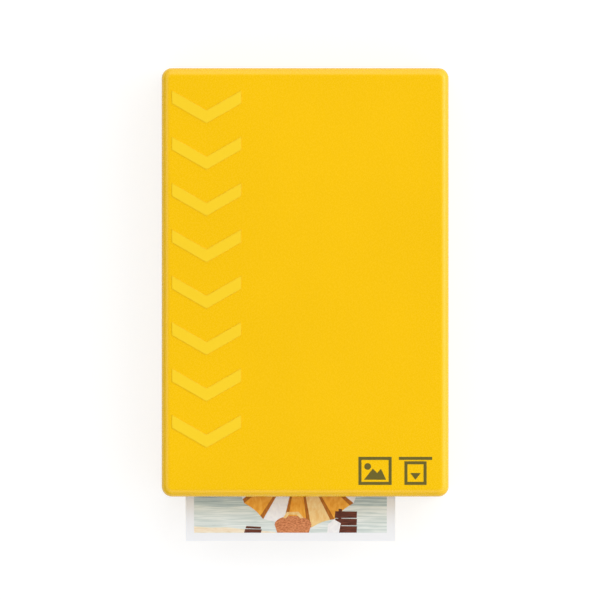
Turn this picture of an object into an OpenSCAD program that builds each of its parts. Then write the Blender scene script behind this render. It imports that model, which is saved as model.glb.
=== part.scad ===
// Compact photo printer with a hinged paper cover.
// Lengths are in millimetres. The printer lies flat: X runs across it, the print
// leaves at the front (-Y), the cover is hinged at the rear (+Y), and Z is up.
// The origin is the middle of the underside, on the plane the printer rests on.

/* [Casing] */
// Width of the casing
casing_w = 78; // [70:0.5:90]
// Length of the casing
casing_l = 116.5; // [105:0.5:130]
// Height from the resting plane to the top of the cover
casing_h = 20.4; // [18.4:0.1:23]
// Corner radius seen from above
corner_r = 2.8; // [2.6:0.1:5]
// Radius of the cover's top edge, and of the hinge barrel
top_edge_r = 2.2; // [2:0.1:2.5]
// Radius of the lower edge of the base
bottom_edge_r = 2.2; // [1.5:0.1:2.5]
// Thickness of the side walls
wall = 1.8; // [1.6:0.1:2]
// Thickness of the cover's top
cover_t = 1.6; // [1.4:0.1:1.7]
// Thickness of the floor
floor_t = 1.6; // [1.4:0.1:1.7]
// Height of the seam between base and cover above the sheet path
seam_rise = 1.2; // [1.1:0.1:1.6]
// Open gap at the seam
seam = 0.3; // [0.2:0.05:0.5]
// How far the non-slip ring stands below the base
ring_proud = 0.4; // [0.3:0.1:0.5]
// How far the ring is set into the base
ring_inset = 0.6; // [0.4:0.1:0.8]
// Width of the non-slip ring
ring_band = 3; // [2:0.2:5]
// Distance from the casing's side to the ring
ring_margin = 12; // [11:0.2:16]

/* [Sheets] */
// Room on each side of a sheet, for the gears and the walls
side_room = 10.5; // [10.2:0.1:13]
// Room before and behind a sheet, for the rollers and the walls
end_room = 31; // [30.5:0.5:34]
// Thickness of a sheet
sheet_t = 0.26; // [0.2:0.02:0.28]
// How far the sheets lie left of the casing's middle
sheet_shift = 4; // [3.6:0.1:4.1]
// Sheets left in the tray
sheet_count = 9; // [1:1:9]
// How far the print stands out of the slot
print_out = 12.1; // [2:0.1:30]
// Clearance between the floor and the rollers
roller_clear = 0.95; // [0.8:0.05:1.2]

/* [Rollers] */
// Radius of the platen's shaft
platen_core_r = 1.5; // [1.2:0.1:2]
// Distance from the front of the casing to the platen's axis
platen_setback = 16.25; // [16:0.25:17]
// Distance from the front of the casing to the exit roller's axis
exit_setback = 6.25; // [6.25:0.05:6.5]
// Radius of the roller shafts
shaft_r = 1; // [0.8:0.05:1.2]
// Wall of the bearing bushes
bush_wall = 0.8; // [0.5:0.1:1]
// Clearance between a sheet and what guides it
nip_gap = 0.05; // [0.03:0.01:0.1]

/* [Gears] */
// Teeth on the platen gear and on the pick-up gear
platen_teeth = 20; // [18:1:20]
// Teeth on the exit gear
exit_teeth = 15; // [14:1:16]
// Teeth on the idler between platen and exit roller
front_idler_teeth = 17; // [16:1:18]
// Teeth on the idler between platen and pick-up roller
rear_idler_teeth = 25; // [23:1:25]
// Teeth on the small wheel of the reduction gear
reduction_small_teeth = 12; // [12:1:13]
// Teeth on the large wheel of the reduction gear
reduction_large_teeth = 36; // [32:1:36]
// Teeth on the motor pinion
pinion_teeth = 10; // [10:1:12]
// Width of the gears
gear_w = 2.4; // [1.8:0.1:2.5]
// Tooth thickness taken off for backlash, as a share of the module
backlash = 0.16; // [0.1:0.01:0.25]

/* [Motor and electronics] */
// Length of the motor can
motor_l = 18; // [14:0.5:20]
// Room between the battery and the right wall
battery_right = 9.2; // [9:0.1:12]
// Room between the battery and the left wall
battery_left = 17.2; // [17:0.1:20]
// Length of the circuit board, from front to rear
board_l = 25.3; // [25:0.1:27]
// Thickness of the circuit board
board_t = 1; // [0.8:0.1:1.6]

/* [Catch, button and hinge] */
// Length of a magnet of the cover catch
magnet_l = 6; // [3:0.2:6.4]
// Height of a magnet of the cover catch
magnet_h = 3; // [2:0.1:3.5]
// Travel of the power button
button_travel = 0.5; // [0.3:0.1:0.6]
// Width of the power button
button_w = 9; // [7:0.2:11]
// Height of the power button
button_h = 3.4; // [3:0.1:4]
// Radius of the hinge pins
hinge_pin_r = 0.7; // [0.5:0.05:0.75]
// Width of a hinge ear
ear_w = 2.6; // [2.2:0.1:2.8]

/* [Cover marks] */
// Half the width of an arrow on the cover
arrow_half = 9.4; // [6:0.2:10]
// Width of an arrow's stroke
arrow_stroke = 3.5; // [2:0.1:4]
// Distance from one arrow to the next
arrow_pitch = 12.6; // [9:0.2:13]
// How far the arrows stand above the cover
arrow_proud = 0.1; // [0.05:0.05:0.2]

/* [Hidden] */
$fn = 64;

// Clearances shared by many pieces
eps = 0.01;
slip = 0.1;
run = 0.05;
clear = 0.3;

// Casing
half_w = casing_w / 2;
half_l = casing_l / 2;
in_w = half_w - wall;
in_front = -half_l + wall;
in_rear = half_l - wall;
base_z = ring_proud;
floor_z = base_z + floor_t;
cover_in = casing_h - cover_t;

// Rollers, gears, motor and battery keep their shares of the room between floor and cover
inner_h = cover_in - floor_z;
// One of so many shares of that room, to a hundredth of a millimetre
function share(parts) = round(100 * inner_h / parts) / 100;
platen_r = share(4.2);
exit_r = share(5.6);
pick_r = platen_r;
pinch_r = share(7);
gear_module = inner_h / 42;
motor_r = share(4.8);
battery_t = share(3.36);

// Sheet path, and the seam just above it
path_z = floor_z + roller_clear + 2 * platen_r + nip_gap;
split_z = path_z + seam_rise;
base_top = split_z - seam / 2;
cover_bottom = split_z + seam / 2;

// Hinge: the cover's rear edge is a barrel that turns in a seat in the base
hinge_y = half_l - top_edge_r;
hinge_z = casing_h - top_edge_r;
seat_r = top_edge_r + 0.25;
ear_r = hinge_pin_r + 0.8;
ear_x = in_w - 0.4 - ear_w;
ear_foot_y = hinge_y - 6.2;
ear_foot_l = 2.4;
pocket_r = ear_r + 0.15;
cover_rear = hinge_y + 1.2;
pin_end = half_w - 0.8;
pin_x = ear_x - 5.6;
pin_entry = pin_end - pin_x + 1;
riser_top = hinge_z - 1.9;

// Sheets
sheet_w = casing_w - 2 * side_room;
sheet_l = casing_l - end_room;
mid_x = -sheet_shift;
sheet_top = path_z + sheet_t;
stack_rear = in_rear - 1.1;
stack_front = stack_rear - sheet_l;
stack_z = sheet_top + 0.04;
stack_top = stack_z + sheet_count * sheet_t;
air_film = 0.02;
print_front = -half_l - print_out;

// Side plates, measured from the middle of the sheets
plate_t = 0.8;
plate_in = sheet_w / 2 + 1.1;
plate_out = plate_in + plate_t;
plate_front = in_front + 0.25;
plate_top = cover_in - 2.1;
bridge_t = 0.8;

// Rollers
platen_y = -half_l + platen_setback;
exit_y = -half_l + exit_setback;
platen_z = path_z - nip_gap - platen_r;
exit_z = path_z - nip_gap - exit_r;
pick_z = path_z - nip_gap - pick_r;
pinch_z = sheet_top + nip_gap + pinch_r;
bush_r = shaft_r + bush_wall;
flange_t = 0.4;
flange_rim = 0.4;
axle_r = 0.8;
axle_head_t = 0.4;
exit_tyre_x = (sheet_w / 2 - 8.5) * [-1, -0.35, 0.35, 1];
exit_tyre_w = 7;
pick_tyre_x = (sheet_w / 2 - 12.5) * [-1, 0, 1];
pick_tyre_w = 8;

// Gear centres in the YZ plane
function pitch_r(n) = gear_module * n / 2;
function reach(n, m) = pitch_r(n) + pitch_r(m);
function tip_r(n) = pitch_r(n) + 0.8 * gear_module;
// How far gears of n and m teeth lie apart in Y when they lie dz apart in Z
function apart(n, m, dz) = sqrt(pow(reach(n, m), 2) - pow(dz, 2));
platen_at = [platen_y, platen_z];
exit_at = [exit_y, exit_z];
pinch_at = [exit_y, pinch_z];
rear_idler_rise = 2.55;
rear_idler_at = platen_at + [apart(platen_teeth, rear_idler_teeth, rear_idler_rise), rear_idler_rise];
pick_y = rear_idler_at[0] + apart(platen_teeth, rear_idler_teeth, rear_idler_at[1] - pick_z);
pick_at = [pick_y, pick_z];
reduction_z = floor_z + pitch_r(reduction_large_teeth) + 1;
reduction_y = pick_y + apart(platen_teeth, reduction_small_teeth, reduction_z - pick_z);
reduction_at = [reduction_y, reduction_z];
motor_z = floor_z + motor_r + 0.5;
motor_y = reduction_y + apart(reduction_large_teeth, pinion_teeth, reduction_z - motor_z);
motor_at = [motor_y, motor_z];
front_idler_at = meeting(
    platen_at, reach(platen_teeth, front_idler_teeth), exit_at, reach(exit_teeth, front_idler_teeth)
);
gear_x = plate_out + 0.4;
large_w = 2;
large_x = gear_x + gear_w + 0.4;

// The point above the line from a to b that lies ra from a and rb from b
function meeting(a, ra, b, rb) =
    let (
        d = norm(b - a),
        u = (b - a) / d,
        along = (ra * ra - rb * rb + d * d) / (2 * d),
        up = sqrt(ra * ra - along * along)
    )
    a + u * along + [-u[1], u[0]] * up * (u[0] < 0 ? -1 : 1);

// Direction from gear centre a to gear centre b, in degrees
function toward(a, b) = atan2(b[1] - a[1], b[0] - a[0]);

// Turn that puts a gear of m teeth in mesh with one of n teeth that is turned by t
function meshed(n, t, a, b, m) = toward(a, b) + 180 + (180 - n * (t - toward(a, b))) / m;
platen_turn = 0;
front_idler_turn = meshed(platen_teeth, platen_turn, platen_at, front_idler_at, front_idler_teeth);
exit_turn = meshed(front_idler_teeth, front_idler_turn, front_idler_at, exit_at, exit_teeth);
rear_idler_turn = meshed(platen_teeth, platen_turn, platen_at, rear_idler_at, rear_idler_teeth);
pick_turn = meshed(rear_idler_teeth, rear_idler_turn, rear_idler_at, pick_at, platen_teeth);
reduction_turn = meshed(platen_teeth, pick_turn, pick_at, reduction_at, reduction_small_teeth);
pinion_turn = meshed(reduction_large_teeth, reduction_turn, reduction_at, motor_at, pinion_teeth);

// Feet of the side plates
plate_rear = motor_y + motor_r + 4.6;
foot_ys = [(platen_y + platen_r + pick_y - pick_r) / 2, plate_rear - 2.1];
foot_x = plate_in - 4;
foot_z = floor_z + 2.4;
foot_half = 2;
screw_r = 0.8;
screw_head_r = 1.7;
screw_head_t = 1;
thread = 0.02;

// Battery and board
board_y1 = in_rear - 0.9;
board_y0 = board_y1 - board_l;
battery_x0 = -in_w + battery_left;
battery_x1 = in_w - battery_right;
battery_y = plate_rear + 1.2;
battery_z = floor_z + 0.1;
battery_cap_l = 1.6;
battery_rear = board_y0 - 2;
board_z = floor_z + 1.4;
board_top = board_z + board_t;
board_x0 = -in_w + 7.2;
board_x1 = in_w - 4.6;
board_screw_at = [[board_x0 + 3, board_y1 - 13], [board_x1 - 3, board_y0 + 2.5]];
board_post_at = concat(board_screw_at, [[board_x0 + 3, board_y0 + 2.5], [board_x1 - 3, board_y1 - 2.5]]);
lead_r = 0.4;
lead_gap = 1.6;
plug_y = board_y0 + 2.4;
plug_z = board_top + 1.1;

// Ribbon of the print head: out over the left plate, down, back inwards under it
ribbon_w = 6;
ribbon_t = 0.2;
ribbon_x = battery_x0 - 1.4 - ribbon_w;
ribbon_out = mid_x - plate_out - 0.7;
ribbon_y = board_y0 + 3;

// Paper tray
tray_floor_t = 1;
tray_z = path_z - share(12);
rail_top = path_z - nip_gap;
rail_w = 1;
rail_x = (sheet_w / 2 - 6.5) * [-1, -0.41, 0.41, 1];
tray_in = sheet_w / 2 + 0.3;
tray_side_t = 0.7;
tray_out = tray_in + tray_side_t;
tray_top = stack_top + 1.2;
tray_front = platen_y + platen_r + 0.6;
tray_rear = in_rear - 0.1;
gate_l = 0.8;
deck_z = base_top - 1.1;
deck_t = 0.9;
deck_y0 = plate_rear + 1;
deck_y1 = ear_foot_y - 1.6;
boss_r = 2;
boss_z = floor_z + 2.2;
boss_x = [mid_x - tray_out + boss_r - 0.1, in_w - 3.8];
boss_y = [deck_y0 + 2.5, battery_rear - 2];

// Print head
head_y = platen_y;
head_half_l = 4;
head_front = head_y - head_half_l;
head_rear = head_y + head_half_l;
head_gap_z = sheet_top + nip_gap;
heater_w = 1.2;
heater_t = 0.1;
strip_t = 0.9;
sink_z = head_gap_z + strip_t;
sink_top = sink_z + 2.8;
head_half_w = plate_in - 0.6;
head_lug_w = 3;
head_lug_r = 1.5;
head_pin_r = 0.8;
head_pin_at = [head_rear + 1.6, sink_z + 1.9];
head_spring_x = sheet_w / 2 - 12.5;
head_spring_r = 1.7;
spring_pocket = 1.1;
fin_x = [5 - head_half_w, -7, -3.5, 0, 3.5, 7, head_half_w - 5];
ribbon_z = sink_top - 1.2;
bridge_lug_y = [head_front + 1, head_rear - 1];

// Pressure plate under the cover
press_w = sheet_w - 12;
press_y0 = stack_front + 9;
press_y1 = stack_rear - 8;
press_z = stack_top + clear;
press_t = 1;
press_rim = 1.4;
hook_w = 5;
hook_t = 1.1;
hook_x = press_w / 2;
hook_ys = [press_y0 + 14, press_y1 - 14];
press_spring_x = hook_x - 8.5;
press_spring_r = 2.4;
collar_h = 0.6;

// Magnet catch at the front corners, and the grips below the cover's edge
magnet_t = 1.8;
magnet_x = in_w - slip - magnet_t;
magnet_y = plate_front + 2.2;
catch_plate_t = 0.8;
grip_y = platen_y + 6;
grip_l = 14;
grip_h = 3.2;
grip_depth = 0.8;

// Power button on the right wall, beside the board
button_y = (board_y0 + board_y1) / 2;
button_z = board_top + 1.6;
switch_x = in_w - 4;
flange_lip = 0.7;

// Rear wall: socket, lamp and reset hole
usb_x = 12;
usb_w = 7.5;
usb_h = 2.6;
usb_l = 5.4;
usb_rear = half_l - 0.4;
lamp_x = 2;
lamp_r = 0.9;
reset_x = -5;
reset_r = 0.5;
rear_z = board_top + usb_h / 2;

// Springs: wire radius and number of turns
head_spring_wire = 0.15;
head_spring_turns = 3;
press_spring_wire = 0.2;
press_spring_turns = 4;

steel = [0.75, 0.76, 0.78];
dark = [0.16, 0.16, 0.17];
grey = [0.32, 0.33, 0.35];
yellow = [0.98, 0.78, 0.02];
white = [0.94, 0.94, 0.93];
brass = [0.8, 0.65, 0.3];
copper = [0.72, 0.45, 0.2];

// Shapes that repeat

// A rectangle with round corners
module plan(w, l, r) {
    square([w - 2 * r, l], center = true);
    square([w, l - 2 * r], center = true);
    for (x = [-1, 1], y = [-1, 1])
        translate([x * (w / 2 - r), y * (l / 2 - r)]) circle(r);
}

// The outline of a slab's side, s wide and h high, with its upper corners rounded by e
module side_outline(s, h, e) {
    translate([-s / 2, 0]) square([s, h - e]);
    translate([-s / 2 + e, 0]) square([s - 2 * e, h]);
    for (x = [-1, 1]) translate([x * (s / 2 - e), h - e]) circle(e);
}

// A slab with round corners of radius r and an upper edge rounded by e
module slab(w, l, h, r, e) {
    rotate([90, 0, 0]) translate([0, 0, -l / 2 + r]) linear_extrude(l - 2 * r) side_outline(w, h, e);
    rotate([90, 0, 90]) translate([0, 0, -w / 2 + r]) linear_extrude(w - 2 * r) side_outline(l, h, e);
    for (x = [-1, 1], y = [-1, 1])
        translate([x * (w / 2 - r), y * (l / 2 - r), 0])
            rotate_extrude() intersection() {
                side_outline(2 * r, h, e);
                square([r, h]);
            }
}

// A cylinder along X from x0, at [y, z], l long and r in radius
module rod(at, x0, l, r) {
    translate([x0, at[0], at[1]]) rotate([0, 90, 0]) cylinder(h = l, r = r);
}

// A flat shape drawn in the YZ plane, from x0 and t thick
module sheet_yz(x0, t) {
    translate([x0, 0, 0]) rotate([90, 0, 90]) linear_extrude(t) children();
}

// The child and its mirror image in X
module both() {
    children();
    mirror([1, 0, 0]) children();
}

// What is placed from the middle of the sheets
module engine() {
    translate([mid_x, 0, 0]) children();
}

// A block between its lowest and its highest corner
module block(low, high) {
    translate(low) cube(high - low);
}

// A pan-head screw along Z: its head above z and its shank below
module screw(x, y, z, shank) {
    translate([x, y, z]) difference() {
        union() {
            cylinder(h = screw_head_t, r = screw_head_r);
            translate([0, 0, -shank]) cylinder(h = shank + eps, r = screw_r - thread);
        }
        for (a = [0, 90]) rotate(a) translate([-1, -0.2, 0.5]) cube([2, 0.4, 1]);
    }
}

// How far an involute flank of the base circle has turned at radius r, in degrees
function flank(r, base) = r <= base ? 0 : tan(acos(base / r)) * 180 / PI - acos(base / r);

// Outline of a spur gear with n teeth, the first one centred on the X axis
module gear_outline(n) {
    r = pitch_r(n);
    base = r * cos(20);
    tip = tip_r(n);
    root = r - 1.1 * gear_module;
    half = (90 - backlash * 90 / PI) / n + flank(r, base);
    steps = 3;
    start = max(root, base);
    radii = [for (k = [0:steps]) start + (tip - start) * k / steps];
    points = [
        for (i = [0:n - 1]) let (a = i * 360 / n) each concat(
            [[root, a - half]],
            [for (k = [0:steps]) [radii[k], a - half + flank(radii[k], base)]],
            [for (k = [steps:-1:0]) [radii[k], a + half - flank(radii[k], base)]],
            [[root, a + half]]
        )
    ];
    polygon([for (p = points) p[0] * [cos(p[1]), sin(p[1])]]);
}

// A gear on a shaft along X: at [y, z], from x0, w wide, turned by t degrees
module gear(n, at, x0, w, t, bore) {
    translate([x0, at[0], at[1]]) rotate([90, 0, 90]) rotate(t) difference() {
        linear_extrude(w) gear_outline(n);
        translate([0, 0, -1]) cylinder(h = w + 2, r = bore);
    }
}

// A gear of the train beside the right-hand plate
module flat_gear(n, at, t, bore) {
    gear(n, at, gear_x, gear_w, t, bore);
}

// Points of a coil spring's wire, of radius r, that climbs h in so many turns
function coil_points(r, h, turns) = [
    for (i = [0:turns * 8]) [r * cos(i * 45), r * sin(i * 45), h * i / (turns * 8)]
];

// The least gap between a wire's turns, measured between its points
function least_gap(p, thick) =
    min([for (i = [0:len(p) - 6], j = [i + 5:len(p) - 1]) norm(p[j] - p[i])]) - 2 * thick;

// A round wire of radius r through the points p
module wire(p, r, sides = 6) {
    count = len(p);
    along = [for (i = [0:count - 1]) let (d = p[min(i + 1, count - 1)] - p[max(i - 1, 0)]) d / norm(d)];
    side = [for (d = along) let (s = cross(d, abs(d[2]) > 0.8 ? [1, 0, 0] : [0, 0, 1])) s / norm(s)];
    ring = [
        for (i = [0:count - 1], k = [0:sides - 1])
            let (a = k * 360 / sides)
            p[i] + r * (side[i] * cos(a) + cross(along[i], side[i]) * sin(a))
    ];
    skin = [
        for (i = [0:count - 2], k = [0:sides - 1])
            let (a = i * sides + k, b = i * sides + (k + 1) % sides)
            each [[a, b + sides, b], [a, a + sides, b + sides]]
    ];
    last = (count - 1) * sides;
    caps = [for (k = [1:sides - 2]) each [[0, k, k + 1], [last, last + k + 1, last + k]]];
    polyhedron(points = ring, faces = concat(skin, caps));
}

// A compression spring that stands along Z, of outer radius r and height h
module coil(r, h, turns, thick) {
    points = coil_points(r - thick, h - 2 * thick, turns);
    translate([0, 0, thick]) wire(points, thick);
    echo("least gap in a spring", least_gap(points, thick));
}

// Casing

module base_pan() {
    color(yellow) difference() {
        union() {
            difference() {
                base_outer();
                translate([0, 0, floor_z])
                    linear_extrude(casing_h) plan(2 * in_w, 2 * in_rear, corner_r - wall);
            }
            base_posts();
            both() hinge_ear();
            both() magnet_seat();
        }
        exit_slot();
        ring_groove();
        both() rod([hinge_y, hinge_z], ear_x - 1, ear_w + 2, hinge_pin_r + run);
        for (x = boss_x, y = boss_y) translate([x, y, 0]) {
            cylinder(h = base_z + screw_head_t + 0.2, r = screw_head_r + 0.2);
            cylinder(h = casing_h, r = screw_r + 0.2);
        }
        engine() for (x = [-foot_x, foot_x], y = foot_ys)
            translate([x, y, floor_z - 0.6]) cylinder(h = casing_h, r = screw_r);
        for (at = board_screw_at)
            translate([at[0], at[1], floor_z - 0.4]) cylinder(h = casing_h, r = screw_r);
        rear_wall_holes();
        both() lift_grip();
        button_hole();
    }
}

// The base's outside: a tray, and the riser behind the cover with the barrel's seat in it
module base_outer() {
    difference() {
        translate([0, 0, riser_top]) mirror([0, 0, 1])
            slab(casing_w, casing_l, riser_top - base_z, corner_r, bottom_edge_r);
        block([-half_w - 1, -half_l - 1, base_top], [half_w + 1, hinge_y + clear, casing_h]);
        rod([hinge_y, hinge_z], -half_w - 1, casing_w + 2, seat_r);
    }
}

// Posts on the floor for the casing screws, the side plates and the board
module base_posts() {
    for (x = boss_x, y = boss_y)
        translate([x, y, floor_z - eps]) cylinder(h = boss_z - floor_z + eps, r = boss_r + 0.4);
    engine() for (x = [-foot_x, foot_x], y = foot_ys)
        translate([x, y, floor_z - eps]) cylinder(h = foot_z - floor_z + eps, r = foot_half);
    for (at = board_post_at)
        translate([at[0], at[1], floor_z - eps]) cylinder(h = board_z - floor_z + eps, r = 1.8);
}

// A hinge ear reaches the axis from inside, so that the barrel can turn round it
module hinge_ear() {
    knee_z = base_top - 0.4;
    rod([hinge_y, hinge_z], ear_x, ear_w, ear_r);
    sheet_yz(ear_x, ear_w) polygon([
        [hinge_y - 0.5, hinge_z + ear_r * 0.7], [hinge_y - 0.85, hinge_z - 1.15],
        [hinge_y - 1.6, hinge_z - 1.95],
        [ear_foot_y + ear_foot_l, knee_z], [ear_foot_y + ear_foot_l, knee_z - 4],
        [ear_foot_y, knee_z - 4], [ear_foot_y, knee_z + 1.4]
    ]);
    block([ear_x, ear_foot_y, knee_z - 4], [in_w + eps, ear_foot_y + ear_foot_l, knee_z]);
}

// The print leaves through a notch in the front wall
module exit_slot() {
    side = sheet_w / 2 + 1.2;
    engine() block([-side, -half_l - 1, path_z - 0.45], [side, in_front + eps, casing_h]);
}

module ring_outline(grow) {
    outer = 2 * (grow - ring_margin);
    inner = -2 * (grow + ring_margin + ring_band);
    difference() {
        plan(casing_w + outer, casing_l + outer, corner_r + 2 + grow);
        plan(casing_w + inner, casing_l + inner, corner_r - grow);
    }
}

module ring_groove() {
    translate([0, 0, base_z - 1]) linear_extrude(1 + ring_inset) ring_outline(slip);
}

module non_slip_ring() {
    color(dark) linear_extrude(base_z + ring_inset) ring_outline(0);
}

module rear_wall_holes() {
    block([usb_x - usb_w / 2 - clear, in_rear - eps, rear_z - usb_h / 2 - clear],
          [usb_x + usb_w / 2 + clear, half_l + 1, rear_z + usb_h / 2 + clear]);
    for (hole = [[lamp_x, lamp_r + run], [reset_x, reset_r]])
        translate([hole[0], in_rear - 1, rear_z]) rotate([-90, 0, 0]) cylinder(h = wall + 2, r = hole[1]);
}

module button_hole() {
    translate([in_w - 1, button_y, button_z]) rotate([90, 0, 90])
        linear_extrude(wall + 2) plan(button_w + 2 * slip, button_h + 2 * slip, button_h / 2 + slip - eps);
}

// A ledge on the side wall that carries a magnet between two cheeks
module magnet_seat() {
    low = base_top - magnet_h;
    block([magnet_x, magnet_y - 0.8, low - 1], [in_w + eps, magnet_y + magnet_l + 0.8, low]);
    for (y = [magnet_y - 0.8, magnet_y + magnet_l])
        block([magnet_x, y, low - eps], [in_w + eps, y + 0.8, base_top - 0.6]);
}

// A shallow grip under the cover's edge for a fingertip
module lift_grip() {
    translate([half_w - grip_depth, grip_y, base_top]) rotate([90, 0, 90])
        linear_extrude(wall) plan(grip_l, 2 * grip_h, grip_h - eps);
}

module casing_screws() {
    color(steel) for (x = boss_x, y = boss_y)
        translate([0, 0, base_z + screw_head_t + 0.2]) mirror([0, 0, 1]) screw(x, y, 0, 6.4);
}

// The cover: a shallow lid whose rear edge is the hinge barrel
module top_cover() {
    color(yellow) difference() {
        union() {
            difference() {
                cover_outer();
                translate([0, (in_front + cover_rear) / 2, cover_bottom - 1])
                    linear_extrude(cover_in - cover_bottom + 1)
                        plan(2 * in_w, cover_rear - in_front, corner_r - wall);
            }
            intersection() {
                rod([hinge_y, hinge_z], -half_w, casing_w, top_edge_r);
                cover_slab();
            }
            engine() {
                both() pressure_hooks();
                spring_collars();
            }
            both() catch_post();
        }
        both() {
            barrel_pocket();
            rod([hinge_y, hinge_z], pin_end - 2 * pin_entry, 2 * pin_entry, hinge_pin_r);
            block([pin_x - pin_entry, hinge_y - top_edge_r - 1, hinge_z - top_edge_r - 1],
                  [pin_x - 0.4, hinge_y + hinge_pin_r, hinge_z + hinge_pin_r]);
        }
        translate([0, 0, casing_h - arrow_sunk]) linear_extrude(1) arrow_outlines();
        translate([0, 0, casing_h - sign_t]) linear_extrude(1) sign_outlines();
    }
}

module cover_slab() {
    translate([0, 0, cover_bottom])
        slab(casing_w, casing_l, casing_h - cover_bottom, corner_r, top_edge_r);
}

module cover_outer() {
    difference() {
        cover_slab();
        block([-half_w - 1, hinge_y, 0], [half_w + 1, half_l + 1, hinge_z]);
    }
}

// Room in the barrel for an ear: round the axis, and open to the inside and below
module barrel_pocket() {
    x0 = ear_x - 0.2;
    w = ear_w + 0.4;
    top = hinge_z + ear_r * 0.7 + 0.2;
    rod([hinge_y, hinge_z], x0, w, pocket_r);
    sheet_yz(x0, w) polygon([
        [hinge_y, hinge_z], [hinge_y, top], [hinge_y - 4, top],
        [hinge_y - 4, hinge_z - 5], [hinge_y + 1, hinge_z - 5], [hinge_y + 5, hinge_z - 2.55]
    ]);
}

// Hooks that hold the pressure plate under the cover
module pressure_hooks() {
    toe_z = press_z - 0.2;
    for (y = hook_ys) {
        block([hook_x + clear, y - hook_w / 2, toe_z],
              [hook_x + clear + hook_t, y + hook_w / 2, cover_in + eps]);
        block([hook_x - 1, y - hook_w / 2, toe_z],
              [hook_x + clear + eps, y + hook_w / 2, toe_z + 0.5]);
    }
}

// Collars under the cover that keep the pressure springs in place
module spring_collars() {
    for (x = [-press_spring_x, press_spring_x], y = hook_ys)
        translate([x, y, cover_in - collar_h]) difference() {
            cylinder(h = collar_h + eps, r = press_spring_r + 0.9);
            translate([0, 0, -1]) cylinder(h = 1 + collar_h, r = press_spring_r + 0.15);
        }
}

// A post in the cover that carries a catch plate over the magnet
module catch_post() {
    block([magnet_x, magnet_y, cover_bottom + catch_plate_t],
          [in_w + eps, magnet_y + magnet_l, cover_in + eps]);
}

module hinge_pins() {
    color(steel) both() rod([hinge_y, hinge_z], pin_x, pin_end - pin_x, hinge_pin_r);
}

// Arrows down the cover's left side that point to the slot
arrow_sunk = 0.2;
arrow_x = -half_w + 12.2;
arrow_y = half_l - 9.6;
arrow_drop = 5.4;
arrow_count = floor((casing_l - 22) / arrow_pitch) + 1;
module arrow_outlines() {
    for (i = [0:arrow_count - 1])
        translate([arrow_x, arrow_y - i * arrow_pitch]) polygon([
            [-arrow_half, 0], [0, -arrow_drop], [arrow_half, 0],
            [arrow_half, arrow_stroke], [0, arrow_stroke - arrow_drop], [-arrow_half, arrow_stroke]
        ]);
}

module feed_arrows() {
    color([1, 0.84, 0.18]) translate([0, 0, casing_h - arrow_sunk])
        linear_extrude(arrow_sunk + arrow_proud) arrow_outlines();
}

// Two small signs at the front right: a picture, and a sheet that leaves a slot
sign_t = 0.15;
sign_line = 0.8;
sign_at = [[half_w - 20, -half_l + 7], [half_w - 9, -half_l + 7]];
module sign_outlines() {
    translate(sign_at[0]) {
        sign_frame(9, 7.6);
        translate([-2, 1.2]) circle(0.9);
        polygon([[-3, -2.4], [-0.6, 0.6], [0.6, -0.6], [1.6, 0.6], [3, -2.4]]);
    }
    translate(sign_at[1]) {
        translate([0, 3.4]) square([9, sign_line], center = true);
        translate([0, -0.6]) sign_frame(6, 6.4);
        polygon([[-1.4, -0.6], [0, -2.4], [1.4, -0.6]]);
    }
}

module sign_frame(w, h) {
    difference() {
        square([w, h], center = true);
        square([w - 2 * sign_line, h - 2 * sign_line], center = true);
    }
}

module cover_signs() {
    color([0.42, 0.38, 0.12]) translate([0, 0, casing_h - sign_t])
        linear_extrude(sign_t + 0.03) sign_outlines();
}

// Paper path

module paper_tray() {
    color(grey) engine() difference() {
        union() {
            block([-tray_out, tray_front, tray_z], [tray_out, tray_rear, tray_z + tray_floor_t]);
            for (x = rail_x)
                block([x - rail_w / 2, tray_front, tray_z], [x + rail_w / 2, stack_rear - 0.6, rail_top]);
            both() block([tray_in, stack_front - 2.2, tray_z], [tray_out, tray_rear, tray_top]);
            block([-tray_out, tray_rear - tray_side_t, tray_z], [tray_out, tray_rear, tray_top]);
            block([-tray_out, stack_rear - 0.5, tray_z], [tray_out, tray_rear, stack_z]);
            translate([-mid_x, 0, 0]) tray_decks();
            separator_gate();
        }
        for (x = pick_tyre_x)
            block([x - pick_tyre_w / 2 - 0.4, pick_y - 3.4, tray_z - 1],
                  [x + pick_tyre_w / 2 + 0.4, pick_y + 3.4, stack_top]);
    }
}

// The decks beside the tray, and the bosses that the casing screws hold
module tray_decks() {
    edge = in_w - clear;
    difference() {
        union() {
            block([-edge, deck_y0, deck_z], [mid_x - tray_in, deck_y1, deck_z + deck_t]);
            block([mid_x + tray_in, deck_y0, deck_z], [edge, deck_y1, deck_z + deck_t]);
            for (y = boss_y) {
                translate([boss_x[0], y, boss_z]) cylinder(h = tray_z - boss_z + eps, r = boss_r);
                translate([boss_x[1], y, boss_z]) cylinder(h = deck_z - boss_z + eps, r = boss_r);
            }
        }
        for (x = boss_x, y = boss_y) translate([x, y, boss_z - 1]) cylinder(h = 5.6, r = screw_r);
    }
}

// A gate that lets one sheet at a time leave the stack
module separator_gate() {
    block([-tray_out, stack_front - gate_l, sheet_top + 0.14], [tray_out, stack_front, tray_top]);
}

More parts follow.
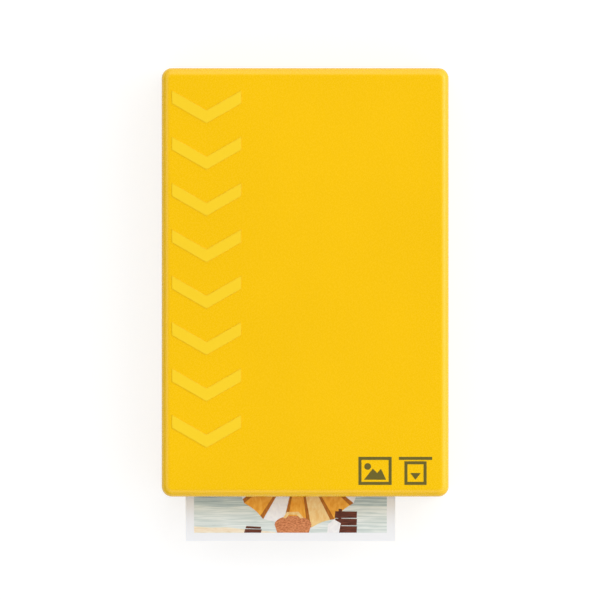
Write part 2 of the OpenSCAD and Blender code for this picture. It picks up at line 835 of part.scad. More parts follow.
guide_half = plate_in - 0.5;
guide_rear = platen_y - platen_r - 0.4;
guide_t = 0.8;
guide_tab_y = guide_rear - 2.4;
guide_tab_l = 1.6;
guide_tab_t = 0.6;
guide_rib_x = (sheet_w / 2 - 2.5) * [-1, -0.52, 0, 0.52, 1];
module exit_guide() {
    front = in_front + clear;
    color(dark) engine() difference() {
        union() {
            block([-guide_half, front, tray_z], [guide_half, guide_rear, tray_z + guide_t]);
            for (x = guide_rib_x)
                block([x - rail_w / 2, front, tray_z], [x + rail_w / 2, guide_rear, rail_top]);
            block([-plate_out - 0.3, guide_tab_y, tray_z],
                  [plate_out + 0.3, guide_tab_y + guide_tab_l, tray_z + guide_tab_t]);
        }
        for (x = exit_tyre_x)
            block([x - exit_tyre_w / 2 - 0.4, exit_y - 2.9, tray_z - 1],
                  [x + exit_tyre_w / 2 + 0.4, exit_y + 2.9, path_z + 1]);
    }
}

module paper_stack() {
    color(white) engine() for (i = [0:sheet_count - 1]) {
        film = i < sheet_count - 1 ? 0 : air_film;
        block([-sheet_w / 2, stack_front, stack_z + i * sheet_t],
              [sheet_w / 2, stack_rear, stack_z + (i + 1) * sheet_t - film]);
    }
}

module print_sheet() {
    color(white) engine()
        block([-sheet_w / 2, print_front, path_z], [sheet_w / 2, print_front + sheet_l, sheet_top]);
}

// Frame

// Outline of a side plate, with the holes that both plates share
module plate_outline() {
    difference() {
        polygon([
            [plate_front, floor_z], [plate_rear, floor_z], [plate_rear, path_z + 1],
            [pick_y + 6, path_z + 1], [pick_y + 3, tray_top], [head_pin_at[0] + 4, plate_top],
            [plate_front + 1, plate_top], [plate_front, plate_top - 1]
        ]);
        for (at = [platen_at, exit_at, pick_at]) translate(at) circle(bush_r);
        translate(pinch_at) circle(shaft_r + run);
        translate(head_pin_at) circle(head_pin_r + run);
        translate([guide_tab_y - run, tray_z]) square([guide_tab_l + 2 * run, guide_tab_t + run]);
    }
}

// A foot of a side plate, bent inwards over its screw post
module plate_foot(y) {
    difference() {
        block([foot_x - foot_half, y - foot_half, foot_z],
              [plate_in + eps, y + foot_half, foot_z + plate_t]);
        translate([foot_x, y, 0]) cylinder(h = casing_h, r = screw_r + 0.15);
    }
}

// The side plate on the right; the left one is its mirror image
module side_plate() {
    sheet_yz(plate_in, plate_t) plate_outline();
    for (y = foot_ys) plate_foot(y);
    for (y = bridge_lug_y)
        block([plate_in, y - 1.2, plate_top - eps], [plate_out, y + 1.2, plate_top + bridge_t + 0.4]);
}

motor_screw_z = 2.5;
motor_boss_r = 1.5;
module right_side_plate() {
    color(steel) engine() difference() {
        side_plate();
        for (at = [front_idler_at, rear_idler_at, reduction_at]) rod(at, plate_in - 1, 3, axle_r);
        rod(motor_at, plate_in - 1, 3, motor_boss_r + slip);
        for (s = [-1, 1]) rod(motor_at + [0, s * motor_screw_z], plate_in - 1, 3, 0.5);
    }
}

module left_side_plate() {
    color(steel) engine() difference() {
        mirror([1, 0, 0]) side_plate();
        for (z = [[ribbon_z - 0.4, ribbon_z + 0.7], [floor_z - 1, floor_z + 0.8]])
            block([-plate_out - 1, head_front + 0.7, z[0]], [-plate_in + 1, head_rear - 0.7, z[1]]);
    }
}

module frame_screws() {
    color(steel) engine() for (x = [-foot_x, foot_x], y = foot_ys) screw(x, y, foot_z + plate_t, 3.4);
}

// The steel bridge that the print head's springs push against
module head_bridge() {
    color(steel) engine() difference() {
        block([-plate_out - clear, head_front - 0.4, plate_top],
              [plate_out + clear, head_rear + 0.4, plate_top + bridge_t]);
        both() for (y = bridge_lug_y)
            block([plate_in - slip, y - 1.3, plate_top - 1], [plate_out + slip, y + 1.3, casing_h]);
        for (x = [-8, 0, 8]) translate([x, head_y, plate_top - 1]) cylinder(h = 4, r = 1.5);
    }
}

// A flanged bush in each side plate for each driven shaft
module roller_bushes() {
    color(brass) engine() both() for (at = [platen_at, exit_at, pick_at]) difference() {
        union() {
            rod(at, plate_in - flange_t, flange_t, bush_r + flange_rim);
            rod(at, plate_in - eps, plate_t + eps, bush_r);
        }
        rod(at, plate_in - 1, 3, shaft_r + run);
    }
}

// Pins riveted into the right plate for the idlers and the reduction gear
module idler_axles() {
    color(steel) engine() {
        for (at = [front_idler_at, rear_idler_at]) axle(at, gear_w + 0.8);
        axle(reduction_at, gear_w + large_w + 1.2);
    }
}

module axle(at, length) {
    rod(at, plate_in, plate_t + length, axle_r);
    rod(at, plate_out + length, axle_head_t, axle_r + 0.6);
}

// Rollers

// A shaft from the left-hand bush to the gear at its right-hand end
module geared_shaft(at, core) {
    rod(at, -plate_out - clear, plate_out + clear + gear_x + gear_w, shaft_r);
    rod(at, -plate_in + 0.6, 2 * plate_in - 1.2, core);
}

// Rings on a shaft
module rings(at, places, width, r, core) {
    for (x = places) difference() {
        rod(at, x - width / 2, width, r);
        rod(at, x - width, 2 * width, core);
    }
}

exit_core_r = shaft_r + 0.3;
pick_core_r = shaft_r + 0.5;
module platen_shaft() { color(steel) engine() geared_shaft(platen_at, platen_core_r); }
module platen_rubber() { color(dark) engine() rings(platen_at, [0], sheet_w, platen_r, platen_core_r); }
module platen_gear() { color(white) engine() flat_gear(platen_teeth, platen_at, platen_turn, shaft_r); }

module exit_shaft() { color(steel) engine() geared_shaft(exit_at, exit_core_r); }
module exit_tyres() { color(dark) engine() rings(exit_at, exit_tyre_x, exit_tyre_w, exit_r, exit_core_r); }
module exit_gear() { color(white) engine() flat_gear(exit_teeth, exit_at, exit_turn, shaft_r); }

module pick_shaft() { color(steel) engine() geared_shaft(pick_at, pick_core_r); }
module pick_tyres() { color(dark) engine() rings(pick_at, pick_tyre_x, pick_tyre_w, pick_r, pick_core_r); }
module pick_gear() { color(white) engine() flat_gear(platen_teeth, pick_at, pick_turn, shaft_r); }

module pinch_shaft() { color(steel) engine() rod(pinch_at, -plate_out - 0.2, 2 * plate_out + 0.4, shaft_r); }
module pinch_rollers() {
    color(white) engine() rings(pinch_at, exit_tyre_x, exit_tyre_w - 1, pinch_r, shaft_r);
}

module front_idler() {
    color(white) engine() flat_gear(front_idler_teeth, front_idler_at, front_idler_turn, axle_r + run);
}

module rear_idler() {
    color(white) engine() flat_gear(rear_idler_teeth, rear_idler_at, rear_idler_turn, axle_r + run);
}

module reduction_gear() {
    color(white) engine() {
        gear(reduction_small_teeth, reduction_at, gear_x, gear_w + 0.4 + eps, reduction_turn, axle_r + run);
        gear(reduction_large_teeth, reduction_at, large_x, large_w, reduction_turn, axle_r + run);
    }
}

// Motor

motor_end = plate_in - motor_l;
motor_shaft_r = 0.5;
module motor_can() {
    color(steel) engine() difference() {
        union() {
            rod(motor_at, motor_end, motor_l, motor_r);
            rod(motor_at, plate_in - eps, 0.6, motor_boss_r);
            rod(motor_at, motor_end - 0.8, 0.8 + eps, motor_boss_r);
        }
        rod(motor_at, plate_in - 3, 5, motor_shaft_r + run);
        for (s = [-1, 1]) rod(motor_at + [0, s * motor_screw_z], plate_in - 2, 3, 0.5);
    }
}

module motor_screws() {
    color(steel) engine() for (s = [-1, 1]) {
        rod(motor_at + [0, s * motor_screw_z], plate_out, 0.5, 0.9);
        rod(motor_at + [0, s * motor_screw_z], plate_in - 1.6, plate_t + 1.6 + eps, 0.5 - thread);
    }
}

module motor_shaft() {
    start = plate_in - 2.6;
    color(steel) engine() rod(motor_at, start, large_x + large_w + 0.2 - start, motor_shaft_r);
}

module motor_pinion() {
    color(brass) engine()
        gear(pinion_teeth, motor_at, large_x - 0.2, large_w + 0.4, pinion_turn, motor_shaft_r);
}

// The motor's leads leave its rear cap and pass over the battery to the board
motor_lead_x = mid_x + motor_end - 3;
motor_lead_z = (battery_z + battery_t + tray_z) / 2;
module motor_leads() {
    end_x = mid_x + motor_end;
    color([0.1, 0.2, 0.6]) for (s = [-1, 1]) let (d = s * lead_gap / 2) wire([
        [end_x, motor_y + d * 2, motor_z + 1],
        [end_x - 0.8, motor_y + d * 2, motor_z + 1],
        [motor_lead_x + d + 0.6, motor_y + d + 1.6, motor_z + 1.2],
        [motor_lead_x + d, motor_y + 4, motor_lead_z - 0.6],
        [motor_lead_x + d, motor_y + 7, motor_lead_z],
        [motor_lead_x + d, battery_y + 2, motor_lead_z],
        [motor_lead_x + d, (battery_y + battery_rear) / 2, motor_lead_z],
        [motor_lead_x + d, battery_rear - 2, motor_lead_z],
        [motor_lead_x + d, battery_rear, motor_lead_z - 0.6],
        [motor_lead_x + d, board_y0 - 0.8, plug_z + 0.6],
        [motor_lead_x + d, plug_y - 2.2, plug_z],
        [motor_lead_x + d, plug_y - 1.6, plug_z]
    ], lead_r, 8);
}

// Power and electronics

module battery_cell() {
    cap_y = battery_rear - battery_cap_l;
    color([0.55, 0.57, 0.6]) {
        block([battery_x0, battery_y, battery_z], [battery_x1, cap_y, battery_z + battery_t]);
        block([battery_x0 + 2, cap_y - eps, battery_z + 1],
              [battery_x1 - 2, battery_rear, battery_z + battery_t - 1]);
    }
}

battery_plug_x = battery_x1 - 12;
module battery_leads() {
    z = battery_z + battery_t / 2;
    color([0.8, 0.1, 0.1]) for (s = [-1, 1]) let (x = battery_plug_x + s * lead_gap / 2) wire([
        [x, battery_rear, z], [x, battery_rear + 0.6, z], [x, battery_rear + 1.4, z + 0.8],
        [x, plug_y - 2.6, plug_z - 0.2], [x, plug_y - 2.1, plug_z], [x, plug_y - 1.6, plug_z]
    ], lead_r, 8);
}

module main_board() {
    color([0.05, 0.35, 0.2]) difference() {
        block([board_x0, board_y0, board_z], [board_x1, board_y1, board_top]);
        for (at = board_screw_at) translate([at[0], at[1], 0]) cylinder(h = casing_h, r = screw_r + 0.1);
    }
}

module board_screws() {
    color(steel) for (at = board_screw_at) screw(at[0], at[1], board_top, 2.6);
}

// Chips and small parts: place across the board as a share of its width, distance from
// its front edge, then size
chips = [
    [0.447, 12.5, 7, 7, 0.9], [0.288, 11.5, 5, 6, 0.8], [0.623, 11, 4, 4, 0.8], [0.767, 12, 4, 3, 1],
    [0.16, 8.6, 4, 3, 0.8], [0.863, 8, 3, 2, 0.7], [0.367, 5, 2, 1.2, 0.6], [0.256, 5, 2, 1.2, 0.6],
    [0.447, 5, 2, 1.2, 0.6], [0.639, 5.4, 1.2, 2, 0.6], [0.831, 5, 1.2, 2, 0.6]
];
module board_chips() {
    color(dark) for (c = chips) {
        x = board_x0 + c[0] * (board_x1 - board_x0);
        translate([x - c[2] / 2, board_y0 + c[1] - c[3] / 2, board_top]) cube([c[2], c[3], c[4]]);
    }
}

module shield_can() {
    x0 = board_x0 + 6;
    x1 = x0 + 11;
    skin = 0.2;
    height = 1.6;
    color(steel) difference() {
        block([x0, board_y1 - 8, board_top], [x1, board_y1 - 1, board_top + height]);
        block([x0 + skin, board_y1 - 8 + skin, board_top - 1],
              [x1 - skin, board_y1 - 1 - skin, board_top + height - skin]);
    }
}

module usb_socket() {
    half = usb_w / 2;
    skin = 0.3;
    back = 0.6;
    front = usb_rear - usb_l;
    color(steel) difference() {
        block([usb_x - half, front, board_top], [usb_x + half, usb_rear, board_top + usb_h]);
        block([usb_x - half + skin, front + back, board_top + skin],
              [usb_x + half - skin, usb_rear + 1, board_top + usb_h - skin]);
    }
    color(dark)
        block([usb_x - half + 1.2, front + back - eps, rear_z],
              [usb_x + half - 1.2, usb_rear - 0.8, rear_z + 0.6]);
}

// Switch that the power button pushes from the side
module power_switch() {
    color(dark) {
        block([switch_x - 4.4, button_y - 2, board_top], [switch_x - 0.4, button_y + 2, board_top + 2.6]);
        rod([button_y, button_z], switch_x - 0.4 - eps, 0.4 + eps, 0.7);
    }
}

// Switch behind the pin hole
module reset_switch() {
    color(dark) {
        block([reset_x - 1.8, board_y1 - 3.4, board_top], [reset_x + 1.8, board_y1 - 1, board_top + 2]);
        translate([reset_x, board_y1 - 1 - eps, rear_z]) rotate([-90, 0, 0]) cylinder(h = 0.5, r = 0.6);
    }
}

module lead_sockets() {
    color(white) for (x = [battery_plug_x, motor_lead_x])
        block([x - 2.6, plug_y - 1.6, board_top], [x + 2.6, plug_y + 1.8, board_top + 2.3]);
}

module ribbon_connector() {
    color(white)
        block([ribbon_x - 0.8, ribbon_y, board_top],
              [ribbon_x + ribbon_w + 0.8, ribbon_y + 3.2, board_top + 1.4]);
}

// The flat cable from the print head, with a fold on the floor
module head_ribbon() {
    y0 = head_front + 1;
    y1 = y0 + ribbon_w;
    z0 = floor_z + 0.2;
    entry_z = board_top + 0.5;
    climb = board_y0 - 2.6;
    color(copper) {
        block([ribbon_out, y0, ribbon_z], [mid_x - head_half_w - slip, y1, ribbon_z + ribbon_t]);
        block([ribbon_out, y0, z0], [ribbon_out + ribbon_t, y1, ribbon_z + ribbon_t]);
        block([ribbon_out, y0, z0], [ribbon_x + ribbon_w, y1, z0 + ribbon_t]);
        sheet_yz(ribbon_x, ribbon_w) polygon([
            [y0, z0], [climb, z0], [board_y0 - 0.4, entry_z], [ribbon_y, entry_z],
            [ribbon_y, entry_z + ribbon_t], [board_y0 - 0.6, entry_z + ribbon_t],
            [climb - 0.2, z0 + ribbon_t], [y0, z0 + ribbon_t]
        ]);
    }
}

module charge_lamp() {
    color(white)
        block([lamp_x - 0.8, board_y1 - 2.4, board_top], [lamp_x + 0.8, board_y1 - 1.6, board_top + 1.6]);
}

module light_pipe() {
    face = board_y1 - 1.3;
    color([0.9, 0.95, 1]) {
        translate([lamp_x, face, rear_z]) rotate([-90, 0, 0]) cylinder(h = half_l - face, r = lamp_r);
        block([lamp_x - 1.2, face, board_top], [lamp_x + 1.2, face + 0.8, rear_z + 1.2]);
    }
}

// Print head

module print_head_sink() {
    color(steel) engine() difference() {
        union() {
            block([-head_half_w, head_front, sink_z], [head_half_w, head_rear, sink_top]);
            both() {
                block([head_half_w - head_lug_w, head_rear - eps, sink_z + 0.6],
                      [head_half_w, head_pin_at[0], head_pin_at[1] + head_lug_r]);
                rod(head_pin_at, head_half_w - head_lug_w, head_lug_w, head_lug_r);
            }
        }
        both() rod(head_pin_at, head_half_w - head_lug_w - 1, head_lug_w + 2, head_pin_r);
        for (x = [-head_spring_x, head_spring_x])
            translate([x, head_y, sink_top - spring_pocket]) cylinder(h = 4, r = head_spring_r + 0.3);
        for (x = fin_x)
            block([x - 0.9, head_front + 1, sink_top - 0.9], [x + 0.9, head_rear - 1, sink_top + 1]);
    }
}

// The ceramic strip with its raised heating line over the platen
module print_head_strip() {
    color(white) engine() {
        block([-head_half_w + 1, head_front + 0.8, head_gap_z + heater_t],
              [head_half_w - 1, head_rear - 0.8, sink_z]);
        block([-sheet_w / 2 + 0.5, head_y - heater_w / 2, head_gap_z],
              [sheet_w / 2 - 0.5, head_y + heater_w / 2, head_gap_z + heater_t + eps]);
    }
}

module head_pivot_pin() {
    color(steel) engine() rod(head_pin_at, -plate_out - 0.2, 2 * plate_out + 0.4, head_pin_r);
}

module head_springs() {
    color(steel) engine() for (x = [-head_spring_x, head_spring_x])
        translate([x, head_y, sink_top - spring_pocket])
            coil(head_spring_r, plate_top - sink_top + spring_pocket, head_spring_turns, head_spring_wire);
}

// Pressure plate

module pressure_plate() {
    side = press_w / 2 - press_rim;
    mid_y = (press_y0 + press_y1) / 2;
    color(grey) engine() {
        difference() {
            block([-side, press_y0, press_z], [side, press_y1, press_z + press_t]);
            for (y = [mid_y - 7.25, mid_y + 7.25]) translate([0, y, press_z - 1]) cylinder(h = 4, r = 4);
        }
        both() for (y = hook_ys)
            block([side - eps, y - hook_w / 2 + clear, press_z + 0.4],
                  [press_w / 2, y + hook_w / 2 - clear, press_z + press_t]);
        for (x = [-press_spring_x, press_spring_x], y = hook_ys)
            translate([x, y, press_z + press_t - eps]) cylinder(h = 0.6, r = press_spring_r - 0.6);
    }
}

module pressure_springs() {
    color(steel) engine() for (x = [-press_spring_x, press_spring_x], y = hook_ys)
        translate([x, y, press_z + press_t])
            coil(press_spring_r, cover_in - press_z - press_t, press_spring_turns, press_spring_wire);
}

// Catch and button

module catch_magnets() {
    color(steel) both()
        block([magnet_x, magnet_y, base_top - magnet_h],
              [magnet_x + magnet_t, magnet_y + magnet_l, base_top]);
}

module catch_plates() {
    color(steel) both()
        block([magnet_x, magnet_y, cover_bottom],
              [magnet_x + magnet_t, magnet_y + magnet_l, cover_bottom + catch_plate_t]);
}

module power_button() {
    flange_x = in_w - slip - 0.8;
    face = half_w - run;
    tip = switch_x + slip + button_travel;
    color([0.88, 0.68, 0.02]) {
        translate([flange_x, button_y, button_z]) rotate([90, 0, 90]) linear_extrude(0.8)
            square([button_w + 2 * flange_lip, button_h + 2 * flange_lip], center = true);
        translate([flange_x, button_y, button_z]) rotate([90, 0, 90]) linear_extrude(face - flange_x)
            plan(button_w, button_h, button_h / 2 - eps);
        rod([button_y, button_z], tip, flange_x - tip + eps, 1.2);
    }
}

base_pan();
non_slip_ring();
casing_screws();
left_side_plate();
right_side_plate();
frame_screws();
head_bridge();
paper_tray();
exit_guide();
paper_stack();
roller_bushes();
idler_axles();
motor_can();
motor_screws();
motor_leads();
battery_cell();
battery_leads();
main_board();
board_screws();
board_chips();
shield_can();
usb_socket();
power_switch();
reset_switch();
lead_sockets();
ribbon_connector();
head_ribbon();
charge_lamp();
light_pipe();
print_head_sink();
print_head_strip();
head_pivot_pin();
head_springs();
top_cover();
hinge_pins();
feed_arrows();
cover_signs();
pressure_springs();
pressure_plate();
print_sheet();
platen_shaft();
platen_rubber();
platen_gear();
exit_shaft();
exit_tyres();
exit_gear();
pinch_shaft();
pinch_rollers();
pick_shaft();
pick_tyres();
pick_gear();
front_idler();
rear_idler();
reduction_gear();
motor_shaft();
motor_pinion();
catch_magnets();
catch_plates();
power_button();
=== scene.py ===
import math
import random

import bpy
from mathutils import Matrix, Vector


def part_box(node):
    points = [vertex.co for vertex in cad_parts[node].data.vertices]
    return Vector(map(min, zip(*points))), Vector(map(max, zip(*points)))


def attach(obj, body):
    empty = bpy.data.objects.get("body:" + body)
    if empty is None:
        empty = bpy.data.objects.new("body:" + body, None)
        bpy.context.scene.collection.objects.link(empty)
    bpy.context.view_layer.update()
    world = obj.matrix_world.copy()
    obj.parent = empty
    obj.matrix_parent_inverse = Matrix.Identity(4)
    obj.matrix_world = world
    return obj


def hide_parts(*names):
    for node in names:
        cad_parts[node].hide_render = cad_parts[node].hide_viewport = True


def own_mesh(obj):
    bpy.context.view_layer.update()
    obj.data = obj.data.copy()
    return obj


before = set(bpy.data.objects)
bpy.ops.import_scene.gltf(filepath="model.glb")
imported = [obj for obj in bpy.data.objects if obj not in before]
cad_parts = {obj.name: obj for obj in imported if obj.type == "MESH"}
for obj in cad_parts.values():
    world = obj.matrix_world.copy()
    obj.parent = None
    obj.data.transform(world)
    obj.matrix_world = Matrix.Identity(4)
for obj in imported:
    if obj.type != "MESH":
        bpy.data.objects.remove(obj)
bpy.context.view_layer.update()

# The view
# The printer lies flat and is seen from straight above through a very long lens. The view lies a
# little to the front of the printer's middle, because the print stands out there. Lengths are in
# metres, so sizes in millimetres are multiplied by mm.
mm = 0.001
view_width = 163.1 * mm
lens_height = 600 * mm
lens = bpy.data.cameras.new("long lens")
lens.type = "ORTHO"
lens.ortho_scale = view_width
camera = bpy.data.objects.new("camera", lens)
camera.location = (-1.4 * mm, -4.8 * mm, lens_height)
bpy.context.scene.collection.objects.link(camera)
bpy.context.scene.camera = camera
bpy.context.scene.view_settings.view_transform = "Standard"


# Floor and studio
# A pale matt table that reads as white paper to the lens and still takes the printer's shadow.
# The studio is white at the sides and dark overhead, round the lens. Low down it is brightest at the
# right and the rear, and a softbox stands at the right.
def linear(hex_colour):
    """A colour written as sRGB hex, in linear light."""
    parts = [int(hex_colour[i : i + 2], 16) / 255 for i in (1, 3, 5)]
    return [p / 12.92 if p <= 0.04045 else ((p + 0.055) / 1.055) ** 2.4 for p in parts] + [1]


def settle(node, inputs):
    """Gives a node's sockets their values, or links them to the outputs given for them."""
    for socket, value in inputs.items():
        if isinstance(value, bpy.types.NodeSocket):
            node.id_data.links.new(value, node.inputs[socket])
        else:
            node.inputs[socket].default_value = value
    return node


def add_node(finish, kind, inputs, **settings):
    """Adds a node of that kind to a material or the world, with its settings and its links."""
    node = finish.node_tree.nodes.new("ShaderNode" + kind)
    for name, value in settings.items():
        setattr(node, name, value)
    return settle(node, inputs)


def new_finish(name):
    """A material that is ready for its nodes."""
    finish = bpy.data.materials.new(name)
    finish.use_nodes = True
    return finish


def shell(finish):
    """The shader of a finish."""
    return finish.node_tree.nodes["Principled BSDF"]


def new_piece(name, corners, faces, finishes, smooth=False):
    """A mesh object made of these corners and faces, with its finishes."""
    mesh = bpy.data.meshes.new(name)
    mesh.from_pydata(corners, [], faces)
    for finish in finishes:
        mesh.materials.append(finish)
    if smooth:
        mesh.shade_smooth()
    piece = bpy.data.objects.new(name, mesh)
    bpy.context.scene.collection.objects.link(piece)
    return piece


table_half = 3.0
table = new_piece(
    "table",
    [(x * table_half, y * table_half, 0) for x, y in ((-1, -1), (1, -1), (1, 1), (-1, 1))],
    [(0, 1, 2, 3)],
    [],
)
table_white = new_finish("matt white table")
ray = add_node(table_white, "LightPath", {})
lens_or_gloss = add_node(
    table_white, "Math",
    {0: ray.outputs["Is Camera Ray"], 1: ray.outputs["Is Glossy Ray"]},
    operation="MAXIMUM",
)
seen = add_node(
    table_white, "Math",
    {0: lens_or_gloss.outputs[0], 1: ray.outputs["Is Transmission Ray"]},
    operation="MAXIMUM",
)
# The lens, gloss and glass see a grey that takes the shadow, lifted to white by a glow
table_lit = add_node(table_white, "BsdfDiffuse", {"Color": linear("#A3A3A3")})
table_glow = add_node(table_white, "Emission", {"Color": linear("#FFFFFF"), "Strength": 0.72})
table_seen = add_node(table_white, "AddShader", {0: table_lit.outputs[0], 1: table_glow.outputs[0]})
# The printer gets its light from below off a plain pale grey
table_plain = add_node(table_white, "BsdfDiffuse", {"Color": linear("#C4C4C4")})
table_mix = add_node(
    table_white, "MixShader", {0: seen.outputs[0], 1: table_plain.outputs[0], 2: table_seen.outputs[0]}
)
settle(table_white.node_tree.nodes["Material Output"], {"Surface": table_mix.outputs[0]})
table.data.materials.append(table_white)

studio = bpy.data.worlds.new("studio")
studio.use_nodes = True
bpy.context.scene.world = studio
towards = add_node(studio, "TexCoord", {})
# Height is the sine of the elevation: 0 at the horizon and 1 straight overhead
height = add_node(studio, "SeparateXYZ", {0: towards.outputs["Generated"]})
overhead = add_node(
    studio, "MapRange",
    {"Value": height.outputs["Z"], "From Min": 0.82, "From Max": 0.95, "To Min": 1, "To Max": 0.03},
    interpolation_type="SMOOTHSTEP",
)
horizon = add_node(
    studio, "MapRange",
    {"Value": height.outputs["Z"], "From Min": 0, "From Max": 0.3, "To Min": 0.5, "To Max": 1},
)
right_and_rear = (0.8, 0.5, 0)
lit_side = add_node(
    studio, "VectorMath", {0: towards.outputs["Generated"], 1: right_and_rear}, operation="DOT_PRODUCT"
)
side = add_node(
    studio, "MapRange",
    {"Value": lit_side.outputs["Value"], "From Min": -0.8, "From Max": 0.8, "To Min": 0.25, "To Max": 1.8},
)
low_light = add_node(studio, "Math", {0: side.outputs[0], 1: horizon.outputs[0]}, operation="MULTIPLY")
high_light = 1.38
upper = add_node(studio, "MapRange", {"Value": height.outputs["Z"], "From Min": 0.45, "From Max": 0.65})
walls = add_node(
    studio, "Mix", {0: upper.outputs[0], 2: low_light.outputs[0], 3: high_light}, data_type="FLOAT"
)
round_light = add_node(studio, "Math", {0: walls.outputs[0], 1: overhead.outputs[0]}, operation="MULTIPLY")
# The lens itself sees plain white
studio_ray = add_node(studio, "LightPath", {})
studio_light = add_node(
    studio, "Mix",
    {0: studio_ray.outputs["Is Camera Ray"], 2: round_light.outputs[0], 3: 1.0},
    data_type="FLOAT",
)
settle(
    studio.node_tree.nodes["Background"],
    {"Color": linear("#FFFFFF"), "Strength": studio_light.outputs[0]},
)


def softbox(name, azimuth, elevation, distance, size, power):
    """A square soft lamp that faces the printer. Azimuth 0 is on its right, 90 behind it."""
    lamp = bpy.data.lights.new(name, "AREA")
    lamp.size = size
    lamp.energy = power
    holder = bpy.data.objects.new(name, lamp)
    a, e = math.radians(azimuth), math.radians(elevation)
    place = Vector((math.cos(a) * math.cos(e), math.sin(a) * math.cos(e), math.sin(e))) * distance
    holder.location = place
    holder.rotation_euler = (-place).to_track_quat("-Z", "Y").to_euler()
    bpy.context.scene.collection.objects.link(holder)


softbox("softbox right", azimuth=15, elevation=32, distance=1.0, size=0.4, power=1.2)


# Base and cover
# Both shells are injection-moulded ABS, dyed yellow in the mass. The moulds are spark-eroded, which
# leaves a fine satin skin; its 0.1 mm grain is drawn at 0.35 mm, so that it shows in close views.
def skin(finish, pattern, roughness, swing, edge, depth):
    """Gives a finish a sheen and a relief that follow a pattern; edge and depth are in millimetres."""
    sheen = add_node(
        finish, "MapRange",
        {
            "Value": pattern, "From Min": 0.3, "From Max": 0.7,
            "To Min": roughness - swing, "To Max": roughness + swing,
        },
    )
    edges = add_node(finish, "Bevel", {"Radius": edge * mm}, samples=4)
    relief = add_node(finish, "Bump", {"Distance": depth * mm, "Height": pattern, "Normal": edges.outputs[0]})
    settle(shell(finish), {"Roughness": sheen.outputs[0], "Normal": relief.outputs[0]})


def moulded(name, colour, roughness, grain, depth, ior=1.53):
    """A moulded plastic. Grain and depth of its skin are in millimetres."""
    flow_size = 28
    finish = new_finish(name)
    place = add_node(finish, "TexCoord", {}).outputs["Object"]
    grains = add_node(
        finish, "TexNoise", {"Vector": place, "Scale": 1 / (grain * mm), "Detail": 3, "Roughness": 0.6}
    )
    flow = add_node(finish, "TexNoise", {"Vector": place, "Scale": 1 / (flow_size * mm), "Detail": 2})
    paler = [min(1, part * 1.035) for part in linear(colour)]
    deeper = [part * 0.965 for part in linear(colour)]
    tone = add_node(finish, "Mix", {0: flow.outputs[0], 6: deeper, 7: paler}, data_type="RGBA")
    skin(finish, grains.outputs[0], roughness, 0.05, 0.12, depth)
    settle(shell(finish), {"Base Color": tone.outputs[2], "IOR": ior})
    return finish


def dress(finish, *names):
    """Gives CAD nodes their finish."""
    for name in names:
        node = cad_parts[name]
        if not node.material_slots:
            node.data.materials.append(finish)
        for place in node.material_slots:
            place.material = finish


yellow_abs = moulded("ABS, moulded, yellow", "#FBC703", 0.27, 0.35, 0.005)
dress(yellow_abs, "base_pan", "top_cover")

# Non-slip ring
# A flat ring of thermoplastic rubber, moulded in black and glued into its groove. It is matt, with
# a coarse 0.5 mm skin that grips the table.
ring_rubber = moulded("thermoplastic rubber, black, matt", "#232325", 0.85, 0.5, 0.02, ior=1.5)
dress(ring_rubber, "non_slip_ring")


# Screws
# Pan-head screws of zinc-plated steel, pressed and rolled. The plating is bright, with a faint
# blue cast and fine marks of the heading tool.
def worked(name, colour, roughness, marks, depth):
    """A worked metal. Marks are their lengths along X, Y and Z, and like the depth in millimetres."""
    finish = new_finish(name)
    place = add_node(finish, "TexCoord", {}).outputs["Object"]
    drawn = add_node(
        finish, "VectorMath", {0: place, 1: [1 / (length * mm) for length in marks]}, operation="MULTIPLY"
    )
    grain = add_node(
        finish, "TexNoise", {"Vector": drawn.outputs[0], "Scale": 1, "Detail": 4, "Roughness": 0.65}
    )
    deeper = [part * 0.86 for part in linear(colour)]
    tone = add_node(finish, "Mix", {0: grain.outputs[0], 6: deeper, 7: linear(colour)}, data_type="RGBA")
    skin(finish, grain.outputs[0], roughness, 0.07, 0.08, depth)
    settle(shell(finish), {"Base Color": tone.outputs[2], "Metallic": 1})
    return finish


zinc_plate = worked("steel, zinc-plated, pressed", "#C9CDD2", 0.3, (0.3, 0.3, 0.3), 0.004)
dress(zinc_plate, "casing_screws", "frame_screws", "board_screws", "motor_screws")

# Circuit board
# One millimetre FR-4 laminate with green solder mask. The mask is glossy, and lighter over the copper
# areas under it. Copper areas are about 5 mm across with 0.25 mm gaps, and the vias are 0.5 mm.
board_mask = new_finish("FR-4 laminate, green solder mask")
board_place = add_node(board_mask, "TexCoord", {}).outputs["Object"]
area_size = 5 * mm
copper_areas = add_node(
    board_mask, "TexVoronoi",
    {"Vector": board_place, "Scale": 1 / area_size, "Randomness": 0.75},
    feature="DISTANCE_TO_EDGE",
)
copper_edge = add_node(
    board_mask, "MapRange", {"Value": copper_areas.outputs[0], "From Min": 0.03, "From Max": 0.05}
)
mask_tone = add_node(
    board_mask, "Mix",
    {0: copper_edge.outputs[0], 6: linear("#0A3D22"), 7: linear("#17693A")},
    data_type="RGBA",
)
via_spacing = 2.4 * mm
vias = add_node(board_mask, "TexVoronoi", {"Vector": board_place, "Scale": 1 / via_spacing}, feature="F1")
via_edge = add_node(board_mask, "MapRange", {"Value": vias.outputs[0], "From Min": 0.13, "From Max": 0.1})
board_tone = add_node(
    board_mask, "Mix",
    {0: via_edge.outputs[0], 6: mask_tone.outputs[2], 7: linear("#B9B7A8")},
    data_type="RGBA",
)
mask_relief = add_node(board_mask, "Bump", {"Distance": 0.03 * mm, "Height": copper_edge.outputs[0]})
settle(
    shell(board_mask),
    {"Base Color": board_tone.outputs[2], "Roughness": 0.28, "IOR": 1.55, "Normal": mask_relief.outputs[0]},
)
dress(board_mask, "main_board")

